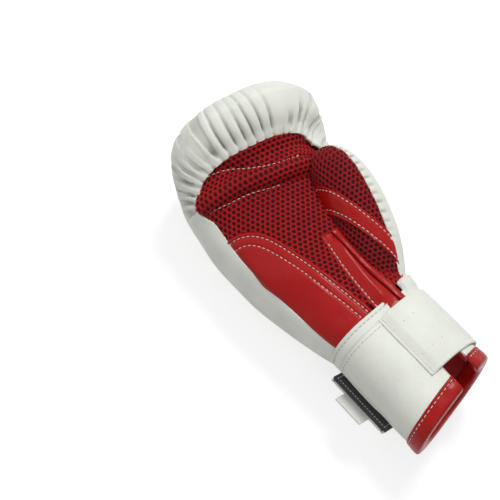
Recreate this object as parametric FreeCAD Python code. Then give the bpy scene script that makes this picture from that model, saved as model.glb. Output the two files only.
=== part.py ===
"""Training boxing glove for the right hand, lying on its back with the palm up.

Units are millimetres. While the model is built, Y runs from the mouth of the cuff (0) to the front of
the fist, +X points to the thumb and +Z out of the palm. The finished pieces are moved along Y so that the
origin is the centre of the flattened patch on which the glove rests.
"""
import FreeCAD, Part
import math
import os

from FreeCAD import Vector

# ---------------------------------------------------------------- driving dimensions
CUFF_LENGTH = 84.0          # mouth of the cuff to the wrist seam, along the little finger's side
CUFF_WIDTH = 78.0
CUFF_HEIGHT = 56.0
CUFF_CORNER = 27.0          # corner radius of the cuff's section
CUFF_LIFT = 18.0            # floor to the underside of the cuff
MOUTH_SLANT = 14.0          # how much shorter the cuff is along the thumb's side
MITT_LENGTH = 202.0         # wrist seam to the front of the fist
REST_SHARE = 0.46           # centre of the resting patch, as a share of the mitt's length
LEAN_ANGLE = 13.0           # how far the fist turns towards the thumb, from the cuff's own line
LEAN_SHARE = 0.45           # over this share of the mitt's length

SKIN = 1.5                  # leather and spacer mesh
LINING = 1.0                # nylon lining
CUFF_PAD = 6.0              # foam in the cuff
OUTER_PAD = 13.0            # firm outer layer of the fist's foam
THUMB_PAD = 7.0             # foam round the thumb
THUMB_DOOR_TOP = 64.0       # top of the doorway from the hand's room into the thumb's

BINDING_WIDTH = 11.0        # leather folded over the cuff's edge
BINDING_SKIN = 0.9

STRAP_WIDTH = 52.0
STRAP_START = 27.0          # mouth of the cuff to the strap's near edge
STRAP_SKIN = 2.2            # two plies of leather
STRAP_SEAM_X = -4.0         # the strap is sewn to the cuff here
STRAP_CLEAR = 0.8           # strap to cuff, over the slit
STRAP_SIDE_CLEAR = 1.5      # strap to cuff, round the thumb edge
TAPE_SKIN = 1.2             # hook tape and loop tape, each
TAPE_CLEAR = 0.3            # between the hooks and the loops
TAPE_MARGIN = 1.5           # strap's edge to the hook tape's
SEGMENT_GAP = 0.3           # between two lengths of strap that hinge on each other
TIP_HINGE_INSET = 15.0      # the strap's end peels about a line this far in from the cuff's edge
TIP_LENGTH = 28.0
TIP_ANGLE = 40.0            # degrees that the end curls up beside the cuff
LOOP_LENGTH = 38.0          # loop tape, round the cuff's back
LOOP_WIDTH = 56.0
LOOP_INSET = 11.0           # the loop tape's end, in from the cuff's edge
HOOK_START_X = 8.0          # where the hook tape begins on the strap
TAB_WIDTH = 24.0
TAB_LENGTH = 12.0
TAB_SKIN = 1.4
TAB_LAP = 0.4               # clearance between the tab and the strap's end

GRIP_BAR_RADIUS = 5.8
GRIP_BAR_SHARE = 0.640      # where it lies, as a share of the mitt's length
GRIP_BAR_X = -8.5
GRIP_BAR_CREST = 82.0       # height of the palm's mesh over its middle
GRIP_BAR_SAG = 4.5          # its ends lie lower than its middle
GRIP_BAR_LENGTH = 64.0
SLIT_SHARE = 0.322          # top of the slit, as a share of the mitt's length
SLIT_APEX_X = 13.0
SLIT_MOUTH_X = 14.0
SLIT_APEX_WIDTH = 2.0
SLIT_MOUTH_WIDTH = 20.0
PLACKET_WIDTH = 11.0        # leather along the slit's palm side
SLIT_BINDING_WIDTH = 4.0    # leather along the slit's thumb side
BAND_WIDTH = 12.0           # leather across the thumb's root
LABEL_WIDTH = 16.0
LABEL_LENGTH = 24.0
LABEL_SKIN = 0.5

CUFF_Z = CUFF_LIFT + CUFF_HEIGHT / 2
CUFF_ROOM_REACH = CUFF_WIDTH / 2 - (SKIN + CUFF_PAD)
CUFF_ROOM_RISE = CUFF_HEIGHT / 2 - (SKIN + CUFF_PAD)
TIP_HINGE_X = TIP_HINGE_INSET - CUFF_WIDTH / 2
LOOP_END_X = LOOP_INSET - CUFF_WIDTH / 2
LOOP_LEAD = 4.0             # the loop tape starts this much nearer the mouth than the strap
SLIT_REACH = 50.0           # how far the slit's cutter starts before the mouth
FAR = 400.0                 # reach of a cutting block, past every piece

# Outline of the fist with its padding: share of MITT_LENGTH, reach to the little finger, reach to the
# thumb, lowest point, highest point. The first row is the cuff's own section.
MITT_OUTLINE = [
    (0.000, CUFF_WIDTH / 2, CUFF_WIDTH / 2, CUFF_LIFT, CUFF_LIFT + CUFF_HEIGHT),
    (0.100, 43.0, 42.0, 12.0, 73.5),
    (0.220, 49.0, 44.0, 4.0, 73.5),
    (0.350, 57.0, 45.0, -0.8, 73.0),
    (0.450, 62.0, 46.0, -1.6, 73.0),
    (0.540, 65.0, 47.0, -1.6, 73.5),
    (0.590, 66.0, 48.0, -1.6, 75.5),
    (GRIP_BAR_SHARE, 67.0, 50.0, -1.6, GRIP_BAR_CREST),
    (0.690, 67.5, 51.0, -1.6, 80.5),
    (0.730, 67.5, 53.0, -1.0, 87.0),
    (0.790, 66.0, 56.0, 0.5, 101.0),
    (0.850, 62.5, 56.0, 5.0, 107.0),
    (0.905, 56.0, 50.0, 13.0, 102.0),
    (0.950, 46.0, 42.0, 25.0, 91.0),
    (0.983, 31.0, 28.0, 40.0, 77.0),
    (1.000, 12.0, 10.0, 52.0, 66.0),
]
# The hand's room inside the lining, in the same form.
HAND_OUTLINE = [
    (0.000, CUFF_ROOM_REACH, CUFF_ROOM_REACH, CUFF_Z - CUFF_ROOM_RISE, CUFF_Z + CUFF_ROOM_RISE),
    (0.100, 35.5, 34.5, 27.0, 66.0),
    (0.250, 43.0, 36.5, 30.0, 65.5),
    (0.400, 47.5, 37.0, 32.0, 65.0),
    (0.560, 49.5, 37.5, 34.0, 65.0),
    (0.670, 49.5, 39.5, 36.0, 66.0),
    (0.710, 49.0, 40.0, 37.5, 75.0),
    (0.745, 47.0, 40.0, 40.5, 87.0),
    (0.780, 43.0, 36.0, 46.0, 90.0),
    (0.820, 34.0, 28.0, 55.0, 85.0),
    (0.840, 16.0, 13.0, 64.0, 77.0),
]
# The thumb: middle of each section as (x, share of MITT_LENGTH, z), its half-width and half-height.
THUMB_SPINE = [
    ((18.0, 0.040, 48.0), 14.0, 18.0),
    ((25.0, 0.119, 50.0), 18.5, 21.5),
    ((32.0, 0.208, 53.0), 21.5, 24.0),
    ((37.0, 0.307, 57.0), 22.5, 25.0),
    ((39.5, 0.406, 62.0), 22.0, 24.5),
    ((40.0, 0.505, 67.0), 20.0, 22.5),
    ((38.5, 0.579, 71.5), 16.0, 18.0),
    ((37.5, 0.621, 74.0), 9.5, 10.5),
    ((37.2, 0.636, 75.0), 3.2, 3.6),
]
# Edges sewn across the palm side, as (x, share of MITT_LENGTH).
HEEL_EDGE = ((-90.0, 0.386), (-44.0, 0.485), (-10.0, 0.337), (4.0, -0.05))
THUMB_SEAM = ((7.0, 0.53), (40.0, 0.03))
# The seam between the cover and the palm, as (share of MITT_LENGTH, height), from the wrist to the roll.
PALM_SEAM = ((0.40, 60.0), (0.52, 61.0), (0.66, 63.0), (0.712, 70.0), (0.735, 84.0), (0.77, 140.0))
CORNER_SHARE = 0.85         # how round a section of the fist is: 1 is an ellipse
QUARTER_STEPS = 5           # net points in a quarter of a section
# Where a padded body's sections lie, as shares of its length: two before the wrist seam, then evenly
# spaced, then closer together round the blunt end.
NET_SHARES = [-0.03, -0.015] + [0.035 * i for i in range(25)]
NET_SHARES += [0.86, 0.89, 0.92, 0.945, 0.967, 0.983, 0.994, 1.0]


# ---------------------------------------------------------------- curves and closed surfaces
def monotone(xs, ys):
    """A smooth curve through the points that never overshoots them."""
    steps = [xs[i + 1] - xs[i] for i in range(len(xs) - 1)]
    slopes = [(ys[i + 1] - ys[i]) / steps[i] for i in range(len(steps))]
    tangents = [slopes[0]]
    for i in range(1, len(slopes)):
        before, after = slopes[i - 1], slopes[i]
        if before * after <= 0:
            tangents.append(0.0)
            continue
        w1 = 2 * steps[i] + steps[i - 1]
        w2 = steps[i] + 2 * steps[i - 1]
        tangents.append((w1 + w2) / (w1 / before + w2 / after))
    tangents.append(slopes[-1])

    def value(x):
        i = 0
        while i < len(steps) - 1 and x > xs[i + 1]:
            i += 1
        t = (x - xs[i]) / steps[i]
        return (
            (1 + 2 * t) * (1 - t) ** 2 * ys[i]
            + t * (1 - t) ** 2 * steps[i] * tangents[i]
            + t * t * (3 - 2 * t) * ys[i + 1]
            + t * t * (t - 1) * steps[i] * tangents[i + 1]
        )

    return value


def along(share):
    """Distance from the cuff's mouth of a place on the mitt, given as a share of the mitt's length."""
    return CUFF_LENGTH + share * MITT_LENGTH


def lean(y):
    """How far the glove has turned towards the thumb at y, in radians."""
    share = min(max((y - CUFF_LENGTH) / (LEAN_SHARE * MITT_LENGTH), 0.0), 1.0)
    return -math.radians(LEAN_ANGLE) * share * share * (3 - 2 * share)


def bent(point):
    """A point of the straight glove, carried to its place on the glove as it leans."""
    centre = Vector(0, min(point.y, CUFF_LENGTH), 0)
    steps = 24
    step = max(point.y - CUFF_LENGTH, 0.0) / steps
    for k in range(steps):
        turn = lean(CUFF_LENGTH + (k + 0.5) * step)
        centre = centre + Vector(-math.sin(turn), math.cos(turn), 0) * step
    turn = lean(point.y)
    return centre + Vector(point.x * math.cos(turn), point.x * math.sin(turn), point.z)


def lean_shape(shape):
    """A cutting block of the straight glove, turned as the fist is."""
    fist_y = along(LEAN_SHARE)
    at, turn = bent(Vector(0, fist_y, 0)), math.degrees(lean(fist_y))
    shape.translate(at - Vector(0, fist_y, 0))
    shape.rotate(at, Vector(0, 0, 1), turn)
    return shape


def rounded_section(y, left, right, low, high, corner_x, corner_z):
    """Evenly spaced net points of a rounded rectangle in the plane y, from the thumb side over the palm."""
    xc, zc = (left + right) / 2, (low + high) / 2
    a, b = (right - left) / 2, (high - low) / 2
    rx, rz = min(corner_x, a), min(corner_z, b)
    turns = [math.pi / 2 * k / 24 for k in range(25)]
    quarter = [(a, 0.0)]
    quarter += [(a - rx + rx * math.cos(t), b - rz + rz * math.sin(t)) for t in turns]
    quarter += [(0.0, b)]
    walked = [0.0]
    for p, q in zip(quarter, quarter[1:]):
        walked.append(walked[-1] + math.hypot(q[0] - p[0], q[1] - p[1]) + 1e-9)
    width_at = monotone(walked, [p[0] for p in quarter])
    height_at = monotone(walked, [p[1] for p in quarter])
    stops = [walked[-1] * k / QUARTER_STEPS for k in range(QUARTER_STEPS)]
    first = [(width_at(s), height_at(s)) for s in stops]
    back = [(0.0, b)] + first[:0:-1]
    loop = first + [(-x, z) for x, z in back]
    loop += [(-x, -z) for x, z in loop]
    return [bent(Vector(xc + x, y, zc + z)) for x, z in loop]


def outline_rows(outline, corner_start):
    """Sections of a padded body from its outline; the first has the cuff's corner radius."""
    rows = [outline[-1][0] * share for share in NET_SHARES]
    shares = [row[0] for row in outline]
    tracks = [monotone(shares, [row[i] for row in outline]) for i in range(1, 5)]
    net = []
    for share in rows:
        little, thumb, low, high = (track(max(share, 0.0)) for track in tracks)
        ease = min(max(share, 0.0) / 0.15, 1.0)
        corner_x = corner_start + ease * (CORNER_SHARE * (little + thumb) / 2 - corner_start)
        corner_z = corner_start + ease * (CORNER_SHARE * (high - low) / 2 - corner_start)
        y = along(share)
        net.append(rounded_section(y, -little, thumb, low, high, corner_x, corner_z))
    return net


def spine_rows(spine, inset):
    """Elliptical sections square to a spine, each smaller by the inset."""
    centres = [bent(Vector(x, along(share), z)) for (x, share, z), _, _ in spine]
    net = []
    for i, (_, width, height) in enumerate(spine):
        tangent = centres[min(i + 1, len(spine) - 1)] - centres[max(i - 1, 0)]
        tangent.normalize()
        side = tangent.cross(Vector(0, 0, 1))
        side.normalize()
        rise = side.cross(tangent)
        a = width - inset * min(1.0, width / 16.0)
        b = height - inset * min(1.0, height / 16.0)
        centre = centres[i] - tangent * (inset * i / (len(spine) - 1))
        turns = [2 * math.pi * k / 16 for k in range(16)]
        net.append([centre + side * (a * math.cos(t)) + rise * (b * math.sin(t)) for t in turns])
    return net


def inset_rows(net, depth):
    """The same net moved inwards along its normals, its two end sections kept flat."""
    count = len(net[0])
    moved = []
    for i, row in enumerate(net):
        along = [net[min(i + 1, len(net) - 1)][j] - net[max(i - 1, 0)][j] for j in range(count)]
        section = []
        for j, point in enumerate(row):
            normal = along[j].cross(row[(j + 1) % count] - row[j - 1])
            normal.normalize()
            section.append(point - normal * depth)
        if i in (0, len(net) - 1):
            axis = (row[0] - row[count // 4]).cross(row[count // 2] - row[count // 4])
            axis.normalize()
            level = row[0].dot(axis) if i == 0 else sum(p.dot(axis) for p in section) / count
            section = [p - axis * (p.dot(axis) - level) for p in section]
        moved.append(section)
    return moved


def closed_body(net):
    """Solid inside a smooth cubic surface through a net of sections, with flat ends."""
    rows, count = len(net), len(net[0])
    poles = []
    for j in range(count):
        line = []
        for i in range(rows):
            here = net[i][j]
            bend = net[i][j - 1] + net[i][(j + 1) % count] - here * 2
            if 0 < i < rows - 1:
                bend = bend + net[i - 1][j] + net[i + 1][j] - here * 2
            line.append(here - bend / 6)
        poles.append(line)
    surface = Part.BSplineSurface()
    surface.buildFromPolesMultsKnots(
        poles,
        [1] * (count + 1),
        [4] + [1] * (rows - 4) + [4],
        [float(i) for i in range(count + 1)],
        [float(i) for i in range(rows - 2)],
        True,
        False,
        3,
        3,
    )
    ends = [Part.Face(Part.Wire(surface.vIso(v).toShape())) for v in (0.0, float(rows - 3))]
    shell = Part.Shell([surface.toShape()] + ends)
    shell.sewShape()
    body = Part.Solid(shell)
    return body if body.Volume > 0 else body.reversed()


def block(x0, x1, y0, y1, z0, z1):
    return Part.makeBox(x1 - x0, y1 - y0, z1 - z0, Vector(x0, y0, z0))


def prism(points, direction):
    """Straight block with this outline, which closes itself."""
    wire = Part.makePolygon([Vector(*p) for p in points] + [Vector(*points[0])])
    return Part.Face(wire).extrude(Vector(*direction))


def cuff_block(grow, y0, y1):
    """The cuff's rounded section, larger all round by grow, from y0 to y1."""
    a, b = CUFF_WIDTH / 2 + grow, CUFF_HEIGHT / 2 + grow
    radius = CUFF_CORNER + grow
    slab = block(-a, a, y0, y1, CUFF_Z - b, CUFF_Z + b)
    long_edges = [e for e in slab.Edges if abs(e.Vertexes[0].Y - e.Vertexes[1].Y) > (y1 - y0) / 2]
    return slab.makeFillet(radius, long_edges)


def mouth_y(x):
    """Where the slanted mouth of the cuff lies along Y."""
    return MOUTH_SLANT * (x / CUFF_WIDTH + 0.5)


def beyond_mouth(distance):
    """Everything further in than this from the plane of the mouth."""
    near, far = mouth_y(-CUFF_WIDTH) + distance, mouth_y(CUFF_WIDTH) + distance
    corners = (-CUFF_WIDTH, near, 0), (CUFF_WIDTH, far, 0), (CUFF_WIDTH, FAR, 0), (-CUFF_WIDTH, FAR, 0)
    return prism(corners, (0, 0, FAR))


def strap_arc(start, end, inner, outer):
    """Length of strap bent round the thumb edge; angles run in degrees from straight up to the thumb."""

    def at(radius, degrees):
        turn = math.radians(degrees)
        return Vector(ARC_X + radius * math.sin(turn), STRAP_START, ARC_Z + radius * math.cos(turn))

    middle = (start + end) / 2
    edges = [
        Part.Arc(at(outer, start), at(outer, middle), at(outer, end)).toShape(),
        Part.LineSegment(at(outer, end), at(inner, end)).toShape(),
        Part.Arc(at(inner, end), at(inner, middle), at(inner, start)).toShape(),
        Part.LineSegment(at(inner, start), at(outer, start)).toShape(),
    ]
    return Part.Face(Part.Wire(edges)).extrude(Vector(0, STRAP_WIDTH, 0))


# ---------------------------------------------------------------- the strap's route round the cuff
ARC_INNER = (CUFF_HEIGHT + STRAP_CLEAR + 2 * TAPE_SKIN + TAPE_CLEAR) / 2
ARC_OUTER = ARC_INNER + STRAP_SKIN
ARC_X = CUFF_WIDTH / 2 + STRAP_SIDE_CLEAR - ARC_INNER
ARC_Z = CUFF_Z + CUFF_HEIGHT / 2 + STRAP_CLEAR - ARC_INNER
STRAP_END = STRAP_START + STRAP_WIDTH
HINGE_TURNS = (0.0, 60.0, 120.0)        # where the strap folds, in degrees round the thumb edge
REST_POINT = bent(Vector(0, along(REST_SHARE), 0))
SLIT_APEX_Y = along(SLIT_SHARE)


def slit_width(y):
    share = min(y / SLIT_APEX_Y, 1.0)
    return SLIT_MOUTH_WIDTH + share * (SLIT_APEX_WIDTH - SLIT_MOUTH_WIDTH)


def slit_centre(y):
    return SLIT_MOUTH_X + y / SLIT_APEX_Y * (SLIT_APEX_X - SLIT_MOUTH_X)


def slit_strip(little, thumb, y0, y1):
    """Upright block that runs beside the slit: how far it reaches past each edge, and its two ends."""
    bends = [CUFF_LENGTH + (SLIT_APEX_Y - CUFF_LENGTH) * k / 6 for k in range(7)]
    stations = [y0] + [y for y in bends if y0 < y < y1] + [y1]
    edges = [[], []]
    for y in stations:
        half = slit_width(y) / 2
        edges[0].append(bent(Vector(slit_centre(y) - half - little, y, CUFF_Z)))
        edges[1].append(bent(Vector(slit_centre(y) + half + thumb, y, CUFF_Z)))
    return prism(edges[0] + edges[1][::-1], (0, 0, FAR))


def palm_side():
    """Everything on the palm's side of the seam between the cover and the palm, across the glove."""
    wrist, sky = CUFF_LENGTH - 40, PALM_SEAM[-1][1]
    seam = [Vector(-FAR, wrist, sky), Vector(-FAR, wrist, PALM_SEAM[0][1])]
    seam += [Vector(-FAR, along(share), z) for share, z in PALM_SEAM]
    edges = [Part.LineSegment(seam[i], seam[i + 1]).toShape() for i in (0, 1, 2, 3)]
    edges.append(Part.Arc(seam[4], seam[5], seam[6]).toShape())
    edges += [Part.LineSegment(seam[i], seam[(i + 1) % 8]).toShape() for i in (6, 7)]
    return lean_shape(Part.Face(Part.Wire(edges)).extrude(Vector(2 * FAR, 0, 0)))


def heel_side():
    """Upright block over the leather panel at the heel of the hand, with its arched top edge."""
    corners = ((HEEL_EDGE[0][0], HEEL_EDGE[-1][1]),) + HEEL_EDGE
    edge = [bent(Vector(x, along(share), 0)) for x, share in corners]
    edges = [
        Part.LineSegment(edge[0], edge[1]).toShape(),
        Part.Arc(edge[1], edge[2], edge[3]).toShape(),
        Part.LineSegment(edge[3], edge[4]).toShape(),
        Part.LineSegment(edge[4], edge[0]).toShape(),
    ]
    return Part.Face(Part.Wire(edges)).extrude(Vector(0, 0, FAR))


def thumb_palm_side():
    """Half space on the side of the thumb that faces the fist and the palm."""
    (x0, share0, z0), (x1, share1, z1) = THUMB_SPINE[1][0], THUMB_SPINE[-3][0]
    start, end = bent(Vector(x0, along(share0), z0)), bent(Vector(x1, along(share1), z1))
    spine = end - start
    spine.normalize()
    facing = Vector(-0.8, 0, 0.6)
    facing = facing - spine * facing.dot(spine)
    half = block(-FAR, FAR, -FAR, FAR, 0, FAR)
    half.Placement = FreeCAD.Placement(start, FreeCAD.Rotation(Vector(0, 0, 1), facing))
    return half


def seam_strip(near, far):
    """Upright block along the line where the thumb leaves the palm, between two distances from it."""
    (x0, share0), (x1, share1) = THUMB_SEAM
    corners = (x0 + near, share0), (x1 + near, share1), (x1 + far, share1), (x0 + far, share0)
    return prism([bent(Vector(x, along(share), 0)) for x, share in corners], (0, 0, FAR))


def make_mitt(parts):
    net = outline_rows(MITT_OUTLINE, CUFF_CORNER)
    room_net = outline_rows(HAND_OUTLINE, CUFF_CORNER - SKIN - CUFF_PAD)

    def above(body, depth):
        return body.common(block(-FAR, FAR, CUFF_LENGTH, FAR, depth, FAR))

    outer = above(closed_body(net), 0.0)
    under_skin = above(closed_body(inset_rows(net, SKIN)), SKIN)
    hand_room = above(closed_body(room_net), 0.0)
    hand_inside = above(closed_body(inset_rows(room_net, LINING)), 0.0)
    thumb_net = spine_rows(THUMB_SPINE, 0.0)
    thumb_outer = closed_body(thumb_net)
    thumb_under = closed_body(inset_rows(thumb_net, SKIN))
    thumb_room = closed_body(spine_rows(THUMB_SPINE, SKIN + THUMB_PAD))
    thumb_inside = closed_body(spine_rows(THUMB_SPINE, SKIN + THUMB_PAD + LINING))
    palm = palm_side()
    slit = slit_strip(0, 0, -SLIT_REACH, SLIT_APEX_Y)

    skin = outer.cut(under_skin).cut(thumb_room.common(block(-FAR, FAR, -FAR, FAR, 0, THUMB_DOOR_TOP)))
    thumb_room, thumb_inside = thumb_room.cut(skin), thumb_inside.cut(skin)
    parts["back_cover"] = skin.cut(palm)
    rest = skin.common(palm).cut(slit)
    regions = (
        ("slit_placket", slit_strip(PLACKET_WIDTH, 0, CUFF_LENGTH - 5, SLIT_APEX_Y + 3).cut(
            slit_strip(0, FAR, CUFF_LENGTH - 6, SLIT_APEX_Y + 4))),
        ("slit_binding", slit_strip(0, SLIT_BINDING_WIDTH, CUFF_LENGTH - 5, SLIT_APEX_Y + 3)),
        ("heel_panel", heel_side()),
    )
    for name, region in regions:
        parts[name] = rest.common(region)
        rest = rest.cut(region)
    parts["palm_mesh"] = rest

    foam = under_skin.cut(hand_room).cut(thumb_room)
    bar = grip_bar()
    parts["grip_bar"] = bar
    parts["palm_padding"] = foam.common(palm).cut(slit).cut(bar)
    back_foam = foam.cut(palm)
    middle_net = outline_rows([inner_layer(row) for row in MITT_OUTLINE], CUFF_CORNER)
    middle = above(closed_body(middle_net), 0.0)
    parts["knuckle_padding_outer"] = back_foam.cut(middle)
    parts["knuckle_padding_inner"] = back_foam.common(middle)
    parts["hand_lining"] = hand_room.cut(hand_inside).cut(thumb_room).cut(slit)

    thumb_skin = thumb_outer.cut(thumb_under).cut(outer)
    facing = thumb_skin.common(thumb_palm_side())
    parts["thumb_cover"] = thumb_skin.cut(thumb_palm_side())
    parts["thumb_band"] = facing.common(seam_strip(0, BAND_WIDTH))
    facing = facing.cut(seam_strip(0, BAND_WIDTH))
    parts["thumb_root_mesh"] = facing.common(seam_strip(-90, 0))
    parts["thumb_mesh"] = facing.cut(seam_strip(-90, 0))
    parts["thumb_padding"] = thumb_under.cut(thumb_room).cut(outer)
    parts["thumb_lining"] = thumb_room.cut(thumb_inside).cut(hand_room)


def inner_layer(row):
    """One row of the outline drawn in by the outer foam, less where the section is small."""
    share, little, thumb, low, high = row
    dx = OUTER_PAD * min(1.0, (little + thumb) / 80)
    dz = OUTER_PAD * min(1.0, (high - low) / 60)
    return (share * (1 - OUTER_PAD / MITT_LENGTH), little - dx, thumb - dx, low + dz, high - dz)


def grip_bar():
    """Foam roll across the palm that the fingers close on."""
    y = along(GRIP_BAR_SHARE)
    top = GRIP_BAR_CREST - SKIN - GRIP_BAR_RADIUS - 1.0
    ends = [Vector(GRIP_BAR_X + side * GRIP_BAR_LENGTH / 2, y, top - GRIP_BAR_SAG) for side in (-1, 1)]
    path = Part.Wire(Part.Arc(ends[0], Vector(GRIP_BAR_X, y, top), ends[1]).toShape())
    start = path.Edges[0]
    centre, tangent = start.valueAt(start.FirstParameter), start.tangentAt(start.FirstParameter)
    ring = Part.Wire(Part.makeCircle(GRIP_BAR_RADIUS, centre, tangent))
    return lean_shape(path.makePipeShell([ring], True, True))


def make_cuff(parts):
    slit = slit_strip(0, 0, -SLIT_REACH, SLIT_APEX_Y)
    lining_out = -(SKIN + CUFF_PAD)
    lining_in = lining_out - LINING
    front = -CUFF_WIDTH
    wall = beyond_mouth(SKIN)
    cover = cuff_block(0, front, CUFF_LENGTH).cut(cuff_block(-SKIN, front - 1, FAR)).common(wall).cut(slit)
    palm_panel = block(-FAR, SLIT_MOUTH_X, -1, CUFF_LENGTH + 1, CUFF_Z, FAR)
    parts["cuff_palm_cover"] = cover.common(palm_panel)
    parts["cuff_back_cover"] = cover.cut(palm_panel)
    pad = cuff_block(-SKIN, front, CUFF_LENGTH).cut(cuff_block(lining_out, front - 1, FAR))
    parts["cuff_padding"] = pad.common(wall).cut(slit)
    lining = cuff_block(lining_out, front, CUFF_LENGTH).cut(cuff_block(lining_in, front - 1, FAR))
    parts["cuff_lining"] = lining.common(wall).cut(slit)
    fold = cuff_block(BINDING_SKIN, front, CUFF_LENGTH)
    fold = fold.cut(cuff_block(lining_in - BINDING_SKIN, front - 1, FAR))
    fold = fold.common(beyond_mouth(0)).cut(beyond_mouth(BINDING_WIDTH))
    within = cuff_block(0, front, FAR).cut(cuff_block(lining_in, front - 1, FAR + 1)).common(wall)
    parts["cuff_binding"] = fold.cut(within).cut(slit)
    floor = CUFF_LIFT + SKIN + CUFF_PAD + LINING
    label_y = mouth_y(LABEL_WIDTH / 2) + BINDING_WIDTH
    parts["size_label"] = block(
        -LABEL_WIDTH / 2, LABEL_WIDTH / 2, label_y, label_y + LABEL_LENGTH, floor, floor + LABEL_SKIN
    )
    loop = cuff_block(TAPE_SKIN, STRAP_START - LOOP_LEAD, STRAP_START - LOOP_LEAD + LOOP_WIDTH)
    loop = loop.cut(cuff_block(0, 0, CUFF_LENGTH))
    parts["loop_tape"] = loop.common(
        block(LOOP_END_X, LOOP_END_X + LOOP_LENGTH, 0, CUFF_LENGTH, 0, CUFF_Z)
    )


def make_strap(parts):
    top, bottom = ARC_Z + ARC_INNER, ARC_Z - ARC_INNER
    parts["strap_anchor"] = block(STRAP_SEAM_X, ARC_X, STRAP_START, STRAP_END, top, top + STRAP_SKIN)
    gap = math.degrees(SEGMENT_GAP / ARC_INNER)
    for name, start, end in (
        ("strap_upper", HINGE_TURNS[0], HINGE_TURNS[1]),
        ("strap_side", HINGE_TURNS[1], HINGE_TURNS[2]),
        ("strap_back", HINGE_TURNS[2], 180.0),
    ):
        parts[name] = strap_arc(start + gap, end, ARC_INNER, ARC_OUTER)
    run = block(TIP_HINGE_X, ARC_X, STRAP_START, STRAP_END, bottom - STRAP_SKIN, bottom)
    parts["strap_back"] = parts["strap_back"].fuse(run).removeSplitter()
    tape_y = (STRAP_START + TAPE_MARGIN, STRAP_END - TAPE_MARGIN)
    parts["hook_tape"] = block(TIP_HINGE_X, HOOK_START_X, *tape_y, bottom, bottom + TAPE_SKIN)

    gap = SEGMENT_GAP + (STRAP_SKIN + TAPE_SKIN) * math.tan(math.radians(TIP_ANGLE))
    near, far = TIP_HINGE_X - gap, TIP_HINGE_X - TIP_LENGTH
    pivot = Vector(TIP_HINGE_X, 0, bottom - STRAP_SKIN)
    pieces = {
        "strap_end": block(far, near, STRAP_START, STRAP_END, bottom - STRAP_SKIN, bottom),
        "hook_tape_end": block(far + TAPE_MARGIN, near, *tape_y, bottom, bottom + TAPE_SKIN),
    }
    tab_y = (STRAP_START + STRAP_END - TAB_WIDTH) / 2
    tab_z = bottom - STRAP_SKIN + TAB_LAP
    pieces["pull_tab"] = block(
        far - SEGMENT_GAP - TAB_LENGTH, far - SEGMENT_GAP, tab_y, tab_y + TAB_WIDTH, tab_z, tab_z + TAB_SKIN
    )
    for name, piece in pieces.items():
        piece.rotate(pivot, Vector(0, 1, 0), TIP_ANGLE)
        parts[name] = piece


def main():
    parts = {}
    make_mitt(parts)
    make_cuff(parts)
    make_strap(parts)
    os.makedirs("parts", exist_ok=True)
    for name, shape in parts.items():
        shape = shape.copy()
        shape.translate(-REST_POINT)
        shape.exportStep("parts/" + name + ".step")
        solids = shape.Solids
        print(name, len(solids), "solids", shape.isValid(), [round(s.Volume) for s in solids][:6])


main()
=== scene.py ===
# %% [markdown]
# # A training boxing glove for the right hand, lying palm up
#
# The glove is one padded body and a chain of strap pieces. This lesson dresses its measured solids:
# white leather gathered over the fist, red spacer mesh in the palm and on the thumb, a glossy red panel
# at the heel of the hand, and a cuff closed by a strap of hook and loop. +Y runs from the cuff's mouth to
# the fist, +X points to the thumb and +Z out of the palm. The frame is in metres. The drawing below is in
# millimetres, and placed() takes it into the frame.

import math

import bmesh
import bpy
import numpy as np
from mathutils import Matrix, Vector
from mathutils.bvhtree import BVHTree
from mathutils.kdtree import KDTree


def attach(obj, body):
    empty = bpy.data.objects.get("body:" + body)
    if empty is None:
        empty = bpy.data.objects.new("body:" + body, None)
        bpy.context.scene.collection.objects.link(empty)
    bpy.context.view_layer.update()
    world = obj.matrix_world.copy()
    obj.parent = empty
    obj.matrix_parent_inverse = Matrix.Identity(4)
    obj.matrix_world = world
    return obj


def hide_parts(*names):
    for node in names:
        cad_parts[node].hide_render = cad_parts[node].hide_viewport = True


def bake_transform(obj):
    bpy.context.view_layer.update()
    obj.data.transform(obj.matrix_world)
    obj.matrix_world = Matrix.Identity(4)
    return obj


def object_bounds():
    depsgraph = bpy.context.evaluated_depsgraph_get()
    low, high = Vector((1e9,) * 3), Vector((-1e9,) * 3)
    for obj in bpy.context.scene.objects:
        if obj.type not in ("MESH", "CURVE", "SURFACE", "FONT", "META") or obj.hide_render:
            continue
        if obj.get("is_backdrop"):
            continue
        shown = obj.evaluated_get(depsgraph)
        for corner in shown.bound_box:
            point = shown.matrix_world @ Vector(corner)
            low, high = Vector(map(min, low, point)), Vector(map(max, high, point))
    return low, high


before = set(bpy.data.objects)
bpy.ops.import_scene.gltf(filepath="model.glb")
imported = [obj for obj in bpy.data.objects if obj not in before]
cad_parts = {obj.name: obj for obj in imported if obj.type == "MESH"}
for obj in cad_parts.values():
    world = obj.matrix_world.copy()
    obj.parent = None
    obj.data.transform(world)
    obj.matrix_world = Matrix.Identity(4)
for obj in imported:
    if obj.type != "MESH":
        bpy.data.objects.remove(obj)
cad_low, cad_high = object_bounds()
MM = 0.001
print("frame loaded:", len(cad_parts), "nodes, box", [round(v, 4) for v in (*cad_low, *cad_high)])

# %% [markdown]
# ## Sizes
#
# These are the sizes that the solids were drawn with, in millimetres, so that leather and stitches land
# on them. The padded bodies are given by a few rows each: how far along the mitt, how far out to the
# little finger and to the thumb, and the lowest and highest point.

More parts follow.
